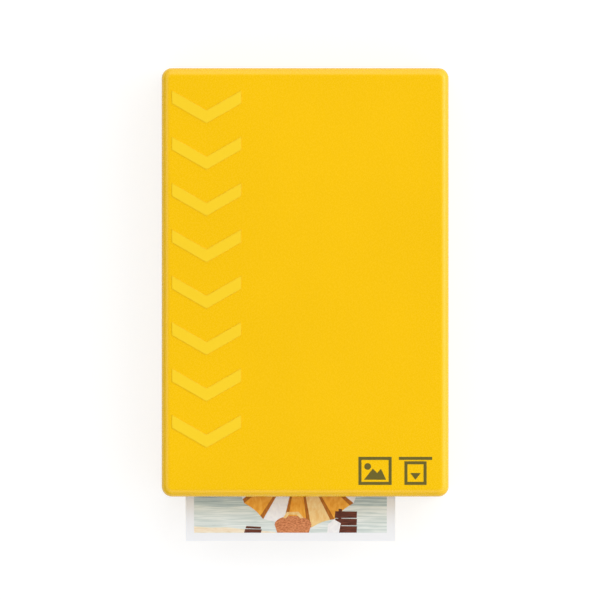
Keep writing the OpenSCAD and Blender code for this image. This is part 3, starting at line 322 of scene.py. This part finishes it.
# Chips and switches
# The chips are transfer-moulded in black epoxy, and so are the housings of the two switches. All
# are soldered to the board. The epoxy is matt, with a fine sandy skin.
chip_epoxy = moulded("epoxy, moulded, black", "#1D1E20", 0.6, 0.25, 0.006, ior=1.55)
dress(chip_epoxy, "board_chips", "power_switch", "reset_switch")

# Shield can and USB socket
# Both are pressed from thin stainless steel sheet and soldered to the board. The steel is bright
# from the rolls, with faint drawing marks from front to rear.
pressed_stainless = worked("stainless steel, pressed", "#CFCFCB", 0.28, (0.15, 3, 0.15), 0.003)
dress(pressed_stainless, "shield_can", "usb_socket")

# Sockets and connector
# The sockets of the leads and the ribbon's connector are moulded in white glass-filled nylon and
# soldered to the board. Nylon is a warm white, with a satin skin.
socket_nylon = moulded("nylon, moulded, white", "#E9E6DA", 0.45, 0.3, 0.004, ior=1.54)
dress(socket_nylon, "lead_sockets", "ribbon_connector")

# Charge lamp
# A white surface-mount lamp, soldered to the board: silicone with yellow phosphor, cast and smooth.
# It is off, so that it shows the phosphor's pale yellow.
lamp_silicone = moulded("silicone with phosphor, pale yellow", "#F2E9B4", 0.3, 0.4, 0.002, ior=1.41)
dress(lamp_silicone, "charge_lamp")

# Light pipe
# Moulded in clear polycarbonate in a polished mould, so that it looks like glass with slightly
# uneven reflections. It carries the lamp's light to the rear wall.
pipe_clear = new_finish("polycarbonate, clear, polished")
pipe_place = add_node(pipe_clear, "TexCoord", {}).outputs["Object"]
pipe_flow = add_node(pipe_clear, "TexNoise", {"Vector": pipe_place, "Scale": 1 / (1.5 * mm), "Detail": 2})
pipe_sheen = add_node(pipe_clear, "MapRange", {"Value": pipe_flow.outputs[0], "To Min": 0.05, "To Max": 0.14})
settle(
    shell(pipe_clear),
    {
        "Base Color": linear("#F4F8F8"), "Roughness": pipe_sheen.outputs[0],
        "IOR": 1.585, "Transmission Weight": 0.9,
    },
)
dress(pipe_clear, "light_pipe")

# Battery
# A lithium-polymer pouch in aluminium laminate film, pressed over the cell, with fine creases a few
# millimetres long. Its sealed end is wrapped in amber polyimide tape.
pouch_film = new_finish("aluminium laminate film, with polyimide tape")
pouch_place = add_node(pouch_film, "TexCoord", {}).outputs["Object"]
pouch_creases = add_node(
    pouch_film, "TexNoise", {"Vector": pouch_place, "Scale": 1 / (4 * mm), "Detail": 5, "Distortion": 0.6}
)
pouch_along = add_node(pouch_film, "SeparateXYZ", {0: pouch_place})
tape_width = 4.5 * mm
tape_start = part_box("battery_cell")[1].y - tape_width
pouch_tape = add_node(
    pouch_film, "MapRange",
    {"Value": pouch_along.outputs["Y"], "From Min": tape_start, "From Max": tape_start + 0.05 * mm},
)
pouch_tone = add_node(
    pouch_film, "Mix",
    {0: pouch_tape.outputs[0], 6: linear("#B5B8BC"), 7: linear("#B97A1E")},
    data_type="RGBA",
)
pouch_metal = add_node(pouch_film, "MapRange", {"Value": pouch_tape.outputs[0], "To Min": 0.8, "To Max": 0.0})
pouch_relief = add_node(pouch_film, "Bump", {"Distance": 0.12 * mm, "Height": pouch_creases.outputs[0]})
settle(
    shell(pouch_film),
    {
        "Base Color": pouch_tone.outputs[2], "Metallic": pouch_metal.outputs[0],
        "Roughness": 0.34, "Normal": pouch_relief.outputs[0],
    },
)
dress(pouch_film, "battery_cell")


# Battery and motor leads
# Stranded copper wire, 0.8 mm thick with its soft PVC insulation, which is extruded in red for the
# battery and in blue for the motor, with a satin gloss. Each lead is held at both ends. The motor's
# leads run between the battery and the tray.
def smooth_route(points, steps=6):
    """A smooth curve through the points, as a list of points."""
    found = []
    for i in range(len(points) - 1):
        before, start = points[max(i - 1, 0)], points[i]
        end, after = points[i + 1], points[min(i + 2, len(points) - 1)]
        for k in range(steps):
            t = k / steps
            found.append(
                0.5 * (2 * start + (end - before) * t + (2 * before - 5 * start + 4 * end - after) * t * t
                       + (3 * start - before - 3 * end + after) * t ** 3)
            )
    return found + [points[-1]]


def round_wires(name, paths, radius, finish, sides=12):
    """One mesh of round wires along the paths, with flat ends."""
    corners, faces = [], []
    for path in paths:
        first = len(corners)
        side = None
        for i, point in enumerate(path):
            along = (path[min(i + 1, len(path) - 1)] - path[max(i - 1, 0)]).normalized()
            side = along.orthogonal() if side is None else side
            side = (side - along * side.dot(along)).normalized()
            up = along.cross(side)
            for k in range(sides):
                a = 2 * math.pi * k / sides
                corners.append(point + (side * math.cos(a) + up * math.sin(a)) * radius)
            if i:
                row = len(corners) - sides
                faces += [
                    (row - sides + k, row - sides + (k + 1) % sides, row + (k + 1) % sides, row + k)
                    for k in range(sides)
                ]
        faces.append(tuple(reversed(range(first, first + sides))))
        faces.append(tuple(range(len(corners) - sides, len(corners))))
    return new_piece(name, corners, faces, [finish], smooth=True)


def lead_paths(route, spread):
    """Two leads side by side. The route, and at each point the distance between them, are in millimetres."""
    paths = []
    for s in (-1, 1):
        points = [
            Vector((x + s * gap_x / 2, y + s * gap_y / 2, z)) * mm
            for (x, y, z), (gap_x, gap_y) in zip(route, spread)
        ]
        paths.append(smooth_route(points))
    return paths


lead_radius = 0.4 * mm
red_pvc = moulded("PVC, extruded, red", "#B3181B", 0.38, 0.5, 0.003, ior=1.54)
battery_run = [
    (16, 28.25, 4.6), (16, 28.85, 4.6), (16, 29.65, 5.4),
    (16, 30.05, 5.3), (16, 30.55, 5.5), (16, 31.05, 5.5),
]
battery_spread = [(1.6, 0)] * len(battery_run)
battery_leads = round_wires(
    "battery_leads_red", lead_paths(battery_run, battery_spread), lead_radius, red_pvc
)
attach(battery_leads, "base")
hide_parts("battery_leads")

blue_pvc = moulded("PVC, extruded, blue", "#1F3F9E", 0.38, 0.5, 0.003, ior=1.54)
motor_run = [
    (7.6, -11.04, 7), (6.8, -11.04, 7), (5.2, -9.44, 7.2), (4.6, -7.04, 7.75),
    (4.6, -4.04, 8.35), (4.6, 0.26, 8.35), (4.6, 13.25, 8.35), (4.6, 26.25, 8.35),
    (4.6, 28.25, 7.75), (4.6, 29.45, 6.1), (4.6, 30.45, 5.5), (4.6, 31.05, 5.5),
]
motor_spread = [(0, 3.2), (0, 3.2), (1.6, 1.6)] + [(1.6, 0)] * 9
motor_leads = round_wires("motor_leads_blue", lead_paths(motor_run, motor_spread), lead_radius, blue_pvc)
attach(motor_leads, "base")
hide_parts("motor_leads")

# Motor
# A small direct-current motor: a deep-drawn steel can, nickel-plated, a warm grey with drawing marks
# along it. The shaft is steel, ground bright in fine rings; the pinion is hobbed from yellow brass.
nickel_can = worked("steel, deep-drawn, nickel-plated", "#BDBAB1", 0.25, (4, 0.2, 0.2), 0.002)
dress(nickel_can, "motor_can")
ground_steel = worked("steel, ground", "#C6C8CA", 0.24, (0.12, 2, 2), 0.0004)
dress(ground_steel, "motor_shaft")
cut_brass = worked("brass, hobbed", "#D3AE5B", 0.3, (1.5, 0.15, 0.15), 0.003)
dress(cut_brass, "motor_pinion")

# Side plates and bridge
# Stamped and bent from 0.8 mm galvanised steel sheet. The rolling grain runs front to rear, and
# the zinc has a soft grey spangle of about 3 mm.
sheet_steel = new_finish("steel sheet, galvanised, rolled")
steel_place = add_node(sheet_steel, "TexCoord", {}).outputs["Object"]
rolled = [1 / (0.2 * mm), 1 / (6 * mm), 1 / (0.2 * mm)]
steel_drawn = add_node(sheet_steel, "VectorMath", {0: steel_place, 1: rolled}, operation="MULTIPLY")
steel_grain = add_node(sheet_steel, "TexNoise", {"Vector": steel_drawn.outputs[0], "Scale": 1, "Detail": 4})
spangle_size = 3 * mm
spangle = add_node(
    sheet_steel, "TexVoronoi", {"Vector": steel_place, "Scale": 1 / spangle_size}, feature="F1"
)
spangle_tone = add_node(sheet_steel, "SeparateXYZ", {0: spangle.outputs["Color"]})
steel_tone = add_node(
    sheet_steel, "Mix",
    {0: spangle_tone.outputs[0], 6: linear("#B3B7BB"), 7: linear("#C0C4C7")},
    data_type="RGBA",
)
steel_sheen = add_node(
    sheet_steel, "MapRange",
    {"Value": steel_grain.outputs[0], "From Min": 0.3, "From Max": 0.7, "To Min": 0.3, "To Max": 0.46},
)
steel_relief = add_node(sheet_steel, "Bump", {"Distance": 0.004 * mm, "Height": steel_grain.outputs[0]})
settle(
    shell(sheet_steel),
    {
        "Base Color": steel_tone.outputs[2], "Metallic": 1,
        "Roughness": steel_sheen.outputs[0], "Normal": steel_relief.outputs[0],
    },
)
dress(sheet_steel, "left_side_plate", "right_side_plate", "head_bridge")

# Bushes and axles
# The bushes are sintered bronze, matt and open-grained from the oil in their pores. The idlers turn
# on riveted pins of turned steel.
sintered_bronze = worked("bronze, sintered", "#B08A55", 0.45, (0.25, 0.25, 0.25), 0.008)
dress(sintered_bronze, "roller_bushes")
dress(ground_steel, "idler_axles", "head_pivot_pin", "hinge_pins")

# Rollers
# Ground steel shafts. The platen is a sleeve of dark silicone rubber, ground to size, which leaves
# fine rings round it; exit and pick-up rollers carry separate tyres of the same rubber.
dress(ground_steel, "platen_shaft", "exit_shaft", "pick_shaft", "pinch_shaft")
ground_rubber = new_finish("silicone rubber, dark grey, ground")
rubber_place = add_node(ground_rubber, "TexCoord", {}).outputs["Object"]
rings = [1 / (0.12 * mm), 1 / (3 * mm), 1 / (3 * mm)]
rubber_rings = add_node(ground_rubber, "VectorMath", {0: rubber_place, 1: rings}, operation="MULTIPLY")
rubber_grain = add_node(
    ground_rubber, "TexNoise", {"Vector": rubber_rings.outputs[0], "Scale": 1, "Detail": 3}
)
rubber_tone = add_node(
    ground_rubber, "Mix",
    {0: rubber_grain.outputs[0], 6: linear("#2C2D2F"), 7: linear("#3D3E41")},
    data_type="RGBA",
)
rubber_relief = add_node(ground_rubber, "Bump", {"Distance": 0.012 * mm, "Height": rubber_grain.outputs[0]})
settle(
    shell(ground_rubber),
    {
        "Base Color": rubber_tone.outputs[2], "Roughness": 0.72, "IOR": 1.43,
        "Normal": rubber_relief.outputs[0],
    },
)
dress(ground_rubber, "platen_rubber", "exit_tyres", "pick_tyres")

# Gears and pinch rollers
# Moulded in natural acetal, a slippery plastic that is off-white with a waxy gloss. The rollers'
# gears are pressed on to their shafts, and the idlers turn on pins.
acetal = moulded("acetal, moulded, natural", "#E8E4D6", 0.34, 0.6, 0.002, ior=1.48)
dress(acetal, "platen_gear", "exit_gear", "pick_gear", "front_idler", "rear_idler", "reduction_gear")
dress(acetal, "pinch_rollers")

# Print head
# A heat sink of extruded aluminium, with fine lines along it, and a white matt alumina strip bonded
# under it. The strip has a narrow glazed line of heating dots, amber and glossy, over the platen.
extruded_aluminium = worked("aluminium, extruded", "#C4C6C9", 0.34, (5, 0.18, 0.18), 0.004)
dress(extruded_aluminium, "print_head_sink")
alumina = new_finish("alumina, fired, with a glazed line")
alumina_place = add_node(alumina, "TexCoord", {}).outputs["Object"]
alumina_along = add_node(alumina, "SeparateXYZ", {0: alumina_place})
strip_low, strip_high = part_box("print_head_strip")
strip_middle = (strip_low.y + strip_high.y) / 2
from_line = add_node(
    alumina, "Math", {0: alumina_along.outputs["Y"], 1: strip_middle}, operation="SUBTRACT"
)
off_line = add_node(alumina, "Math", {0: from_line.outputs[0]}, operation="ABSOLUTE")
glaze = add_node(
    alumina, "MapRange",
    {"Value": off_line.outputs[0], "From Min": 0.62 * mm, "From Max": 0.56 * mm},
)
alumina_grain = add_node(alumina, "TexNoise", {"Vector": alumina_place, "Scale": 1 / (0.3 * mm), "Detail": 2})
alumina_tone = add_node(
    alumina, "Mix", {0: glaze.outputs[0], 6: linear("#E4E2DA"), 7: linear("#9A6B2C")}, data_type="RGBA"
)
alumina_sheen = add_node(alumina, "MapRange", {"Value": glaze.outputs[0], "To Min": 0.45, "To Max": 0.12})
alumina_relief = add_node(alumina, "Bump", {"Distance": 0.003 * mm, "Height": alumina_grain.outputs[0]})
settle(
    shell(alumina),
    {
        "Base Color": alumina_tone.outputs[2], "Roughness": alumina_sheen.outputs[0], "IOR": 1.76,
        "Normal": alumina_relief.outputs[0],
    },
)
dress(alumina, "print_head_strip")


# Head springs
# Two compression springs of 0.3 mm spring steel wire, drawn smooth and grey, with closed ends. They
# press the head on to the platen.
def coil_path(x, y, low, high, outer, wire, turns):
    """The centreline of a spring's wire. Outer and wire are radii; turns counts the closed ends as well."""
    steps = 28
    closed_end = 0.75
    closed_share = 0.12
    open_turns = turns - 2 * closed_end
    radius = outer - wire
    foot, top = low + wire, high - wire
    path = []
    for i in range(round(turns * steps) + 1):
        turn = i / steps
        opened = min(max((turn - closed_end) / open_turns, 0), 1)
        closed = min(turn, closed_end) + max(turn - (turns - closed_end), 0)
        # The open turns lie a little further apart in the middle
        ease = opened * opened * (3 - 2 * opened) * 0.35 + opened * 0.65
        rise = closed_share * closed / (2 * closed_end) + (1 - closed_share) * ease
        a = 2 * math.pi * turn
        path.append(Vector((x + radius * math.cos(a), y + radius * math.sin(a), foot + (top - foot) * rise)))
    return path


spring_steel = worked("spring steel wire, drawn", "#A9AAAC", 0.24, (0.6, 0.6, 0.2), 0.001)
head_wire = 0.15 * mm
head_outer = 1.7 * mm
head_low, head_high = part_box("head_springs")
head_y = (head_low.y + head_high.y) / 2
head_paths = [
    coil_path(x, head_y, head_low.z, head_high.z, head_outer, head_wire, 4.5)
    for x in (head_low.x + head_outer, head_high.x - head_outer)
]
head_springs = round_wires("head_springs_wound", head_paths, head_wire, spring_steel, sides=10)
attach(head_springs, "base")
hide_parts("head_springs")
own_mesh(head_springs)


# Head ribbon
# A flat flexible cable, laminated: copper traces 0.5 mm apart between two glossy films of amber
# polyimide. It leaves the head over the left plate, drops to the floor, folds there and runs back
# to the board.
def flat_strip(corners, faces, marks, path, across, thick):
    """Adds a flat strip along the path to a mesh's corners, faces and marks across its width."""
    first = len(corners)
    for i, point in enumerate(path):
        along = (path[min(i + 1, len(path) - 1)] - path[max(i - 1, 0)]).normalized()
        out = along.cross(across).normalized() * thick / 2
        corners += [point - out, point + out, point + across + out, point + across - out]
        marks += [0, 0, 1, 1]
    for i in range(len(path) - 1):
        row = first + 4 * i
        faces += [(row + k, row + (k + 1) % 4, row + 4 + (k + 1) % 4, row + 4 + k) for k in range(4)]
    last = len(corners) - 4
    faces += [(first + 3, first + 2, first + 1, first), (last, last + 1, last + 2, last + 3)]


def rounded_corners(points, bend, steps=6):
    """The points' polyline with its corners rounded, each over the length bend."""
    found = [points[0]]
    for before, corner, after in zip(points, points[1:], points[2:]):
        start = corner + (before - corner).normalized() * bend
        end = corner + (after - corner).normalized() * bend
        for k in range(steps + 1):
            t = k / steps
            found.append(start * (1 - t) ** 2 + corner * 2 * t * (1 - t) + end * t * t)
    return found + [points[-1]]


ribbon_film = new_finish("polyimide film over copper traces")
ribbon_mark = add_node(ribbon_film, "Attribute", {}, attribute_name="across")
trace_count = 12
ribbon_step = add_node(
    ribbon_film, "Math", {0: ribbon_mark.outputs["Fac"], 1: trace_count}, operation="MULTIPLY"
)
ribbon_share = add_node(ribbon_film, "Math", {0: ribbon_step.outputs[0]}, operation="FRACT")
ribbon_off = add_node(ribbon_film, "Math", {0: ribbon_share.outputs[0], 1: 0.5}, operation="SUBTRACT")
ribbon_side = add_node(ribbon_film, "Math", {0: ribbon_off.outputs[0]}, operation="ABSOLUTE")
ribbon_trace = add_node(
    ribbon_film, "MapRange", {"Value": ribbon_side.outputs[0], "From Min": 0.3, "From Max": 0.24}
)
ribbon_tone = add_node(
    ribbon_film, "Mix",
    {0: ribbon_trace.outputs[0], 6: linear("#8A4A12"), 7: linear("#D08A3C")},
    data_type="RGBA",
)
ribbon_relief = add_node(ribbon_film, "Bump", {"Distance": 0.03 * mm, "Height": ribbon_trace.outputs[0]})
settle(
    shell(ribbon_film),
    {"Base Color": ribbon_tone.outputs[2], "Roughness": 0.22, "IOR": 1.7, "Normal": ribbon_relief.outputs[0]},
)
ribbon_low, ribbon_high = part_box("head_ribbon")
ribbon_wide = 6 * mm
ribbon_thick = 0.1 * mm
ribbon_up = ribbon_high.z - 0.1 * mm
ribbon_front = ribbon_low.y
ribbon_floor = ribbon_low.z + 0.05 * mm
ribbon_fold = ribbon_floor + ribbon_thick
ribbon_left = ribbon_low.x + 0.1 * mm
ribbon_lane = -27.4 * mm
sink_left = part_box("print_head_sink")[0].x
drop = rounded_corners(
    [
        Vector((sink_left, ribbon_front, ribbon_up)),
        Vector((ribbon_left, ribbon_front, ribbon_up)),
        Vector((ribbon_left, ribbon_front, ribbon_fold)),
        Vector((ribbon_lane + ribbon_wide, ribbon_front, ribbon_fold)),
    ],
    0.5 * mm,
)
board_edge = 30.25 * mm
entry = 4.99 * mm
climb = rounded_corners(
    [
        Vector((ribbon_lane, ribbon_front, ribbon_floor)),
        Vector((ribbon_lane, board_edge - 2.7 * mm, ribbon_floor)),
        Vector((ribbon_lane, board_edge - 0.5 * mm, entry)),
        Vector((ribbon_lane, ribbon_high.y, entry)),
    ],
    0.8 * mm,
)
ribbon_corners, ribbon_faces, ribbon_marks = [], [], []
flat_strip(ribbon_corners, ribbon_faces, ribbon_marks, drop, Vector((0, ribbon_wide, 0)), ribbon_thick)
flat_strip(ribbon_corners, ribbon_faces, ribbon_marks, climb, Vector((ribbon_wide, 0, 0)), ribbon_thick)
head_ribbon = new_piece("head_ribbon_flat_cable", ribbon_corners, ribbon_faces, [ribbon_film])
across = head_ribbon.data.attributes.new("across", "FLOAT", "POINT")
across.data.foreach_set("value", ribbon_marks)
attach(head_ribbon, "base")
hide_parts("head_ribbon")

# Paper tray, exit guide and pressure plate
# Moulded in dark grey ABS. The skin is spark-eroded more coarsely than the casing's, with a grain of
# about 0.4 mm, so that sheets slide on it; it looks matt.
tray_abs = moulded("ABS, moulded, dark grey", "#3A3C40", 0.5, 0.4, 0.01)
dress(tray_abs, "paper_tray", "exit_guide", "pressure_plate")

# Sheets in the tray
# Nine sheets of coated photo paper, each 0.26 mm thick, cut from the roll and lying a little uneven
# on each other. The coat is smooth and bright, a very faintly bluish white.
random.seed(7)
photo_paper = new_finish("photo paper, coated, white")
paper_place = add_node(photo_paper, "TexCoord", {}).outputs["Object"]
paper_coat = add_node(photo_paper, "TexNoise", {"Vector": paper_place, "Scale": 1 / (0.9 * mm), "Detail": 3})
paper_cloud = add_node(photo_paper, "TexNoise", {"Vector": paper_place, "Scale": 1 / (18 * mm), "Detail": 2})
paper_tone = add_node(
    photo_paper, "Mix",
    {0: paper_cloud.outputs[0], 6: linear("#F5F8FE"), 7: linear("#F9FBFF")},
    data_type="RGBA",
)
paper_sheen = add_node(
    photo_paper, "MapRange", {"Value": paper_coat.outputs[0], "To Min": 0.3, "To Max": 0.42}
)
paper_relief = add_node(photo_paper, "Bump", {"Distance": 0.002 * mm, "Height": paper_coat.outputs[0]})
settle(
    shell(photo_paper),
    {
        "Base Color": paper_tone.outputs[2], "Roughness": paper_sheen.outputs[0], "IOR": 1.5,
        "Normal": paper_relief.outputs[0],
    },
)
dress(photo_paper, "print_sheet")
stack_low, stack_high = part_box("paper_stack")
sheet_count = 9
sheet_pitch = (stack_high.z - stack_low.z) / sheet_count
sheet_share = 0.93
stray_across = 0.12
stray_along = 0.25
stack_corners, stack_faces = [], []
for i in range(sheet_count):
    shift = Vector((0, 0, 0))
    if i:
        shift.x = random.uniform(-stray_across, stray_across) * mm
        shift.y = random.uniform(-stray_along, 0) * mm
    low = Vector((stack_low.x, stack_low.y + stray_along * mm, stack_low.z + i * sheet_pitch)) + shift
    high = Vector((stack_high.x, stack_high.y, stack_low.z + (i + sheet_share) * sheet_pitch)) + shift
    first = len(stack_corners)
    for z in (low.z, high.z):
        stack_corners += [(low.x, low.y, z), (high.x, low.y, z), (high.x, high.y, z), (low.x, high.y, z)]
    stack_faces += [
        tuple(first + k for k in face)
        for face in ((3, 2, 1, 0), (4, 5, 6, 7), (0, 1, 5, 4), (1, 2, 6, 5), (2, 3, 7, 6), (3, 0, 4, 7))
    ]
sheet_stack = new_piece("sheet_stack", stack_corners, stack_faces, [photo_paper])
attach(sheet_stack, "base")
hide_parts("paper_stack")

# The print's picture
# A seaside still life printed on the sheet inside a white border of 2.3 mm: a parasol resting on
# its rim, a basket and a crate on the sand, with sea, far hills and sky. Flat inks, softly mottled.
print_low, print_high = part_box("print_sheet")
border = 2.3 * mm
picture_x = print_low.x + border
picture_y = print_low.y + border
picture_w = print_high.x - print_low.x - 2 * border
picture_h = print_high.y - print_low.y - 2 * border
# Inks that overlap lie in layers, so that they don't share a plane
ink_layer = 0.006 * mm


def ink(name, light, dark, streak):
    """A colour printed under the coat, mottled between two tones; streak is its size in millimetres."""
    finish = new_finish(name)
    place = add_node(finish, "TexCoord", {}).outputs["Object"]
    across, up = streak
    stretch = [1 / (across * mm), 1 / (up * mm), 1]
    stretched = add_node(finish, "VectorMath", {0: place, 1: stretch}, operation="MULTIPLY")
    mottle = add_node(
        finish, "TexNoise", {"Vector": stretched.outputs[0], "Scale": 1, "Detail": 4, "Distortion": 0.4}
    )
    spread = add_node(finish, "MapRange", {"Value": mottle.outputs[0], "From Min": 0.32, "From Max": 0.68})
    tone = add_node(
        finish, "Mix", {0: spread.outputs[0], 6: linear(dark), 7: linear(light)}, data_type="RGBA"
    )
    settle(shell(finish), {"Base Color": tone.outputs[2], "Roughness": 0.34, "IOR": 1.5})
    return finish


inks = {
    "sky": ink("ink, sky", "#E4EEF0", "#C9DCE2", (18, 6)),
    "hills": ink("ink, far hills", "#9FB2B4", "#879DA2", (6, 2)),
    "sea": ink("ink, sea", "#F4FAF8", "#CCDAD8", (9, 0.5)),
    "deep": ink("ink, deeper sea", "#DCE9EA", "#A9BDC2", (9, 0.45)),
    "sand": ink("ink, sand", "#FFF4DF", "#F1DDBB", (2.4, 0.5)),
    "orange": ink("ink, orange cloth", "#FFC050", "#EE9E2E", (0.9, 1.8)),
    "tan": ink("ink, tan cloth", "#FFE2A4", "#F5C77C", (0.9, 1.8)),
    "white": ink("ink, white cloth", "#FFFFFF", "#F2F1F6", (1.2, 1.6)),
    "basket": ink("ink, basket", "#EDA36F", "#B4623A", (0.6, 0.3)),
    "crate": ink("ink, dark wood", "#7A4232", "#4A281F", (2.2, 0.3)),
    "shade": ink("ink, shade in the folds", "#C4792A", "#A8611F", (0.6, 1.2)),
}
ink_names = list(inks)
ink_corners, ink_faces, ink_slots = [], [], []


def patch(colour, layer, outline):
    """Prints a flat shape, in millimetres from the picture's lower left corner and cut to the picture."""
    first = len(ink_corners)
    for x, y in outline:
        at_x = picture_x + min(max(x * mm, 0), picture_w)
        at_y = picture_y + min(max(y * mm, 0), picture_h)
        ink_corners.append((at_x, at_y, print_high.z + layer * ink_layer))
    ink_faces.append(tuple(range(first, len(ink_corners))))
    ink_slots.append(ink_names.index(colour))


def hill_line(x):
    """Height of the far hills at x, both in millimetres."""
    return 52 + 1.6 * math.sin(x * 0.13 + 0.6) + 0.7 * math.sin(x * 0.41)


patch("sky", 1, [(0, 49), (53, 49), (53, 81), (0, 81)])
patch("sea", 1, [(0, 0), (53, 0), (53, 49), (0, 49)])
patch("deep", 2, [(0, 7.4), (9, 6.9), (20, 7.6), (34, 7.0), (44, 7.5), (53, 7.1), (53, 49), (0, 49)])
patch("hills", 3, [(0, 49), (30, 49)] + [(x, max(49, hill_line(x) - 0.1 * x)) for x in range(29, -1, -1)])
patch("sand", 2, [(0, 0), (24, 0), (13, 1.0), (9, 1.5), (5, 1.4), (0, 1.7)])

parasol = (28.5, 20.5)
parasol_r = 19.4
scallop_depth = 0.7
sectors = 18
rim_steps = 6
cloths = ["white", "orange", "tan", "orange", "white", "orange"]
for i in range(sectors):
    start, end = 2 * math.pi * i / sectors, 2 * math.pi * (i + 1) / sectors
    rim = []
    for k in range(rim_steps + 1):
        a = start + (end - start) * k / rim_steps
        scallop = parasol_r - scallop_depth * math.sin(math.pi * k / rim_steps)
        rim.append((parasol[0] + scallop * math.cos(a), parasol[1] + scallop * math.sin(a)))
    patch(cloths[i % len(cloths)], 3, [parasol] + rim)
    # A narrow fold in shade along the edge of each cloth
    patch("shade", 4, [parasol] + rim[-2:])
for slat in range(3):
    patch("crate", 5, [(38.2, 2 * slat), (44.2, 2 * slat), (44.3, 2 * slat + 1.75), (38.4, 2 * slat + 1.85)])
patch("crate", 6, [(39.0, 0), (39.9, 0), (40.2, 6.4), (39.3, 6.5)])
patch("white", 7, [(36.2, 0), (39.4, 0), (39.9, 2.6), (38.0, 3.6), (36.4, 2.2)])
patch("crate", 5, [(13.6, 0), (18.2, 0), (18.4, 0.9), (13.9, 1.0)])
patch("crate", 5, [(14.0, 1.2), (18.1, 1.05), (18.2, 1.6), (14.2, 1.8)])
basket = [(22.6, 0), (31.2, 0)] + [
    (26.9 + 5.0 * math.cos(math.radians(a)), 2.2 + 2.4 * math.sin(math.radians(a))) for a in range(0, 181, 15)
]
patch("basket", 5, basket)
handle_outside = [(24.2, 4.0), (25.2, 5.6), (28.4, 5.7), (29.8, 4.0)]
handle_inside = [(28.9, 3.9), (27.9, 4.9), (25.8, 4.9), (25.0, 3.9)]
patch("tan", 6, handle_outside + handle_inside)
print_picture = new_piece("print_picture", ink_corners, ink_faces, list(inks.values()))
print_picture.data.polygons.foreach_set("material_index", ink_slots)
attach(print_picture, "print")

# Power button
# Moulded in yellow ABS, a shade deeper than the casing, in a mould with a finer skin, so that it
# looks a little smoother. It slides in the right wall.
button_abs = moulded("ABS, moulded, deep yellow", "#EDB502", 0.3, 0.3, 0.003)
dress(button_abs, "power_button")

# Catch
# Two bar magnets of sintered neodymium, ground and nickel-plated, sit in the base, and two plated
# steel blanks in the cover. The nickel is bright and a little warm.
magnet_plate = worked("neodymium magnet, nickel-plated", "#BFBEBA", 0.24, (2, 2, 2), 0.002)
dress(magnet_plate, "catch_magnets", "catch_plates")

# Marks on the cover
# The arrows are laid into the cover in gloss ABS of a lighter yellow, so that they show tone on tone.
# The two small signs at the front right are pad-printed in a dark olive ink.
arrow_abs = moulded("ABS, polished, light yellow", "#FFD52B", 0.2, 0.8, 0.001)
dress(arrow_abs, "feed_arrows")
sign_ink = moulded("pad-printing ink, dark olive", "#6A6020", 0.4, 0.2, 0.002, ior=1.5)
dress(sign_ink, "cover_signs")

# Pressure springs
# Four compression springs of 0.4 mm spring steel wire with closed ends, between the cover and the
# pressure plate.
press_wire = 0.2 * mm
press_outer = 2.4 * mm
press_low, press_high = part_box("pressure_springs")
press_paths = [
    coil_path(x, y, press_low.z, press_high.z, press_outer, press_wire, 5.5)
    for x in (press_low.x + press_outer, press_high.x - press_outer)
    for y in (press_low.y + press_outer, press_high.y - press_outer)
]
pressure_springs = round_wires("pressure_springs_wound", press_paths, press_wire, spring_steel, sides=10)
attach(pressure_springs, "cover")
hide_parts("pressure_springs")
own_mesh(pressure_springs)
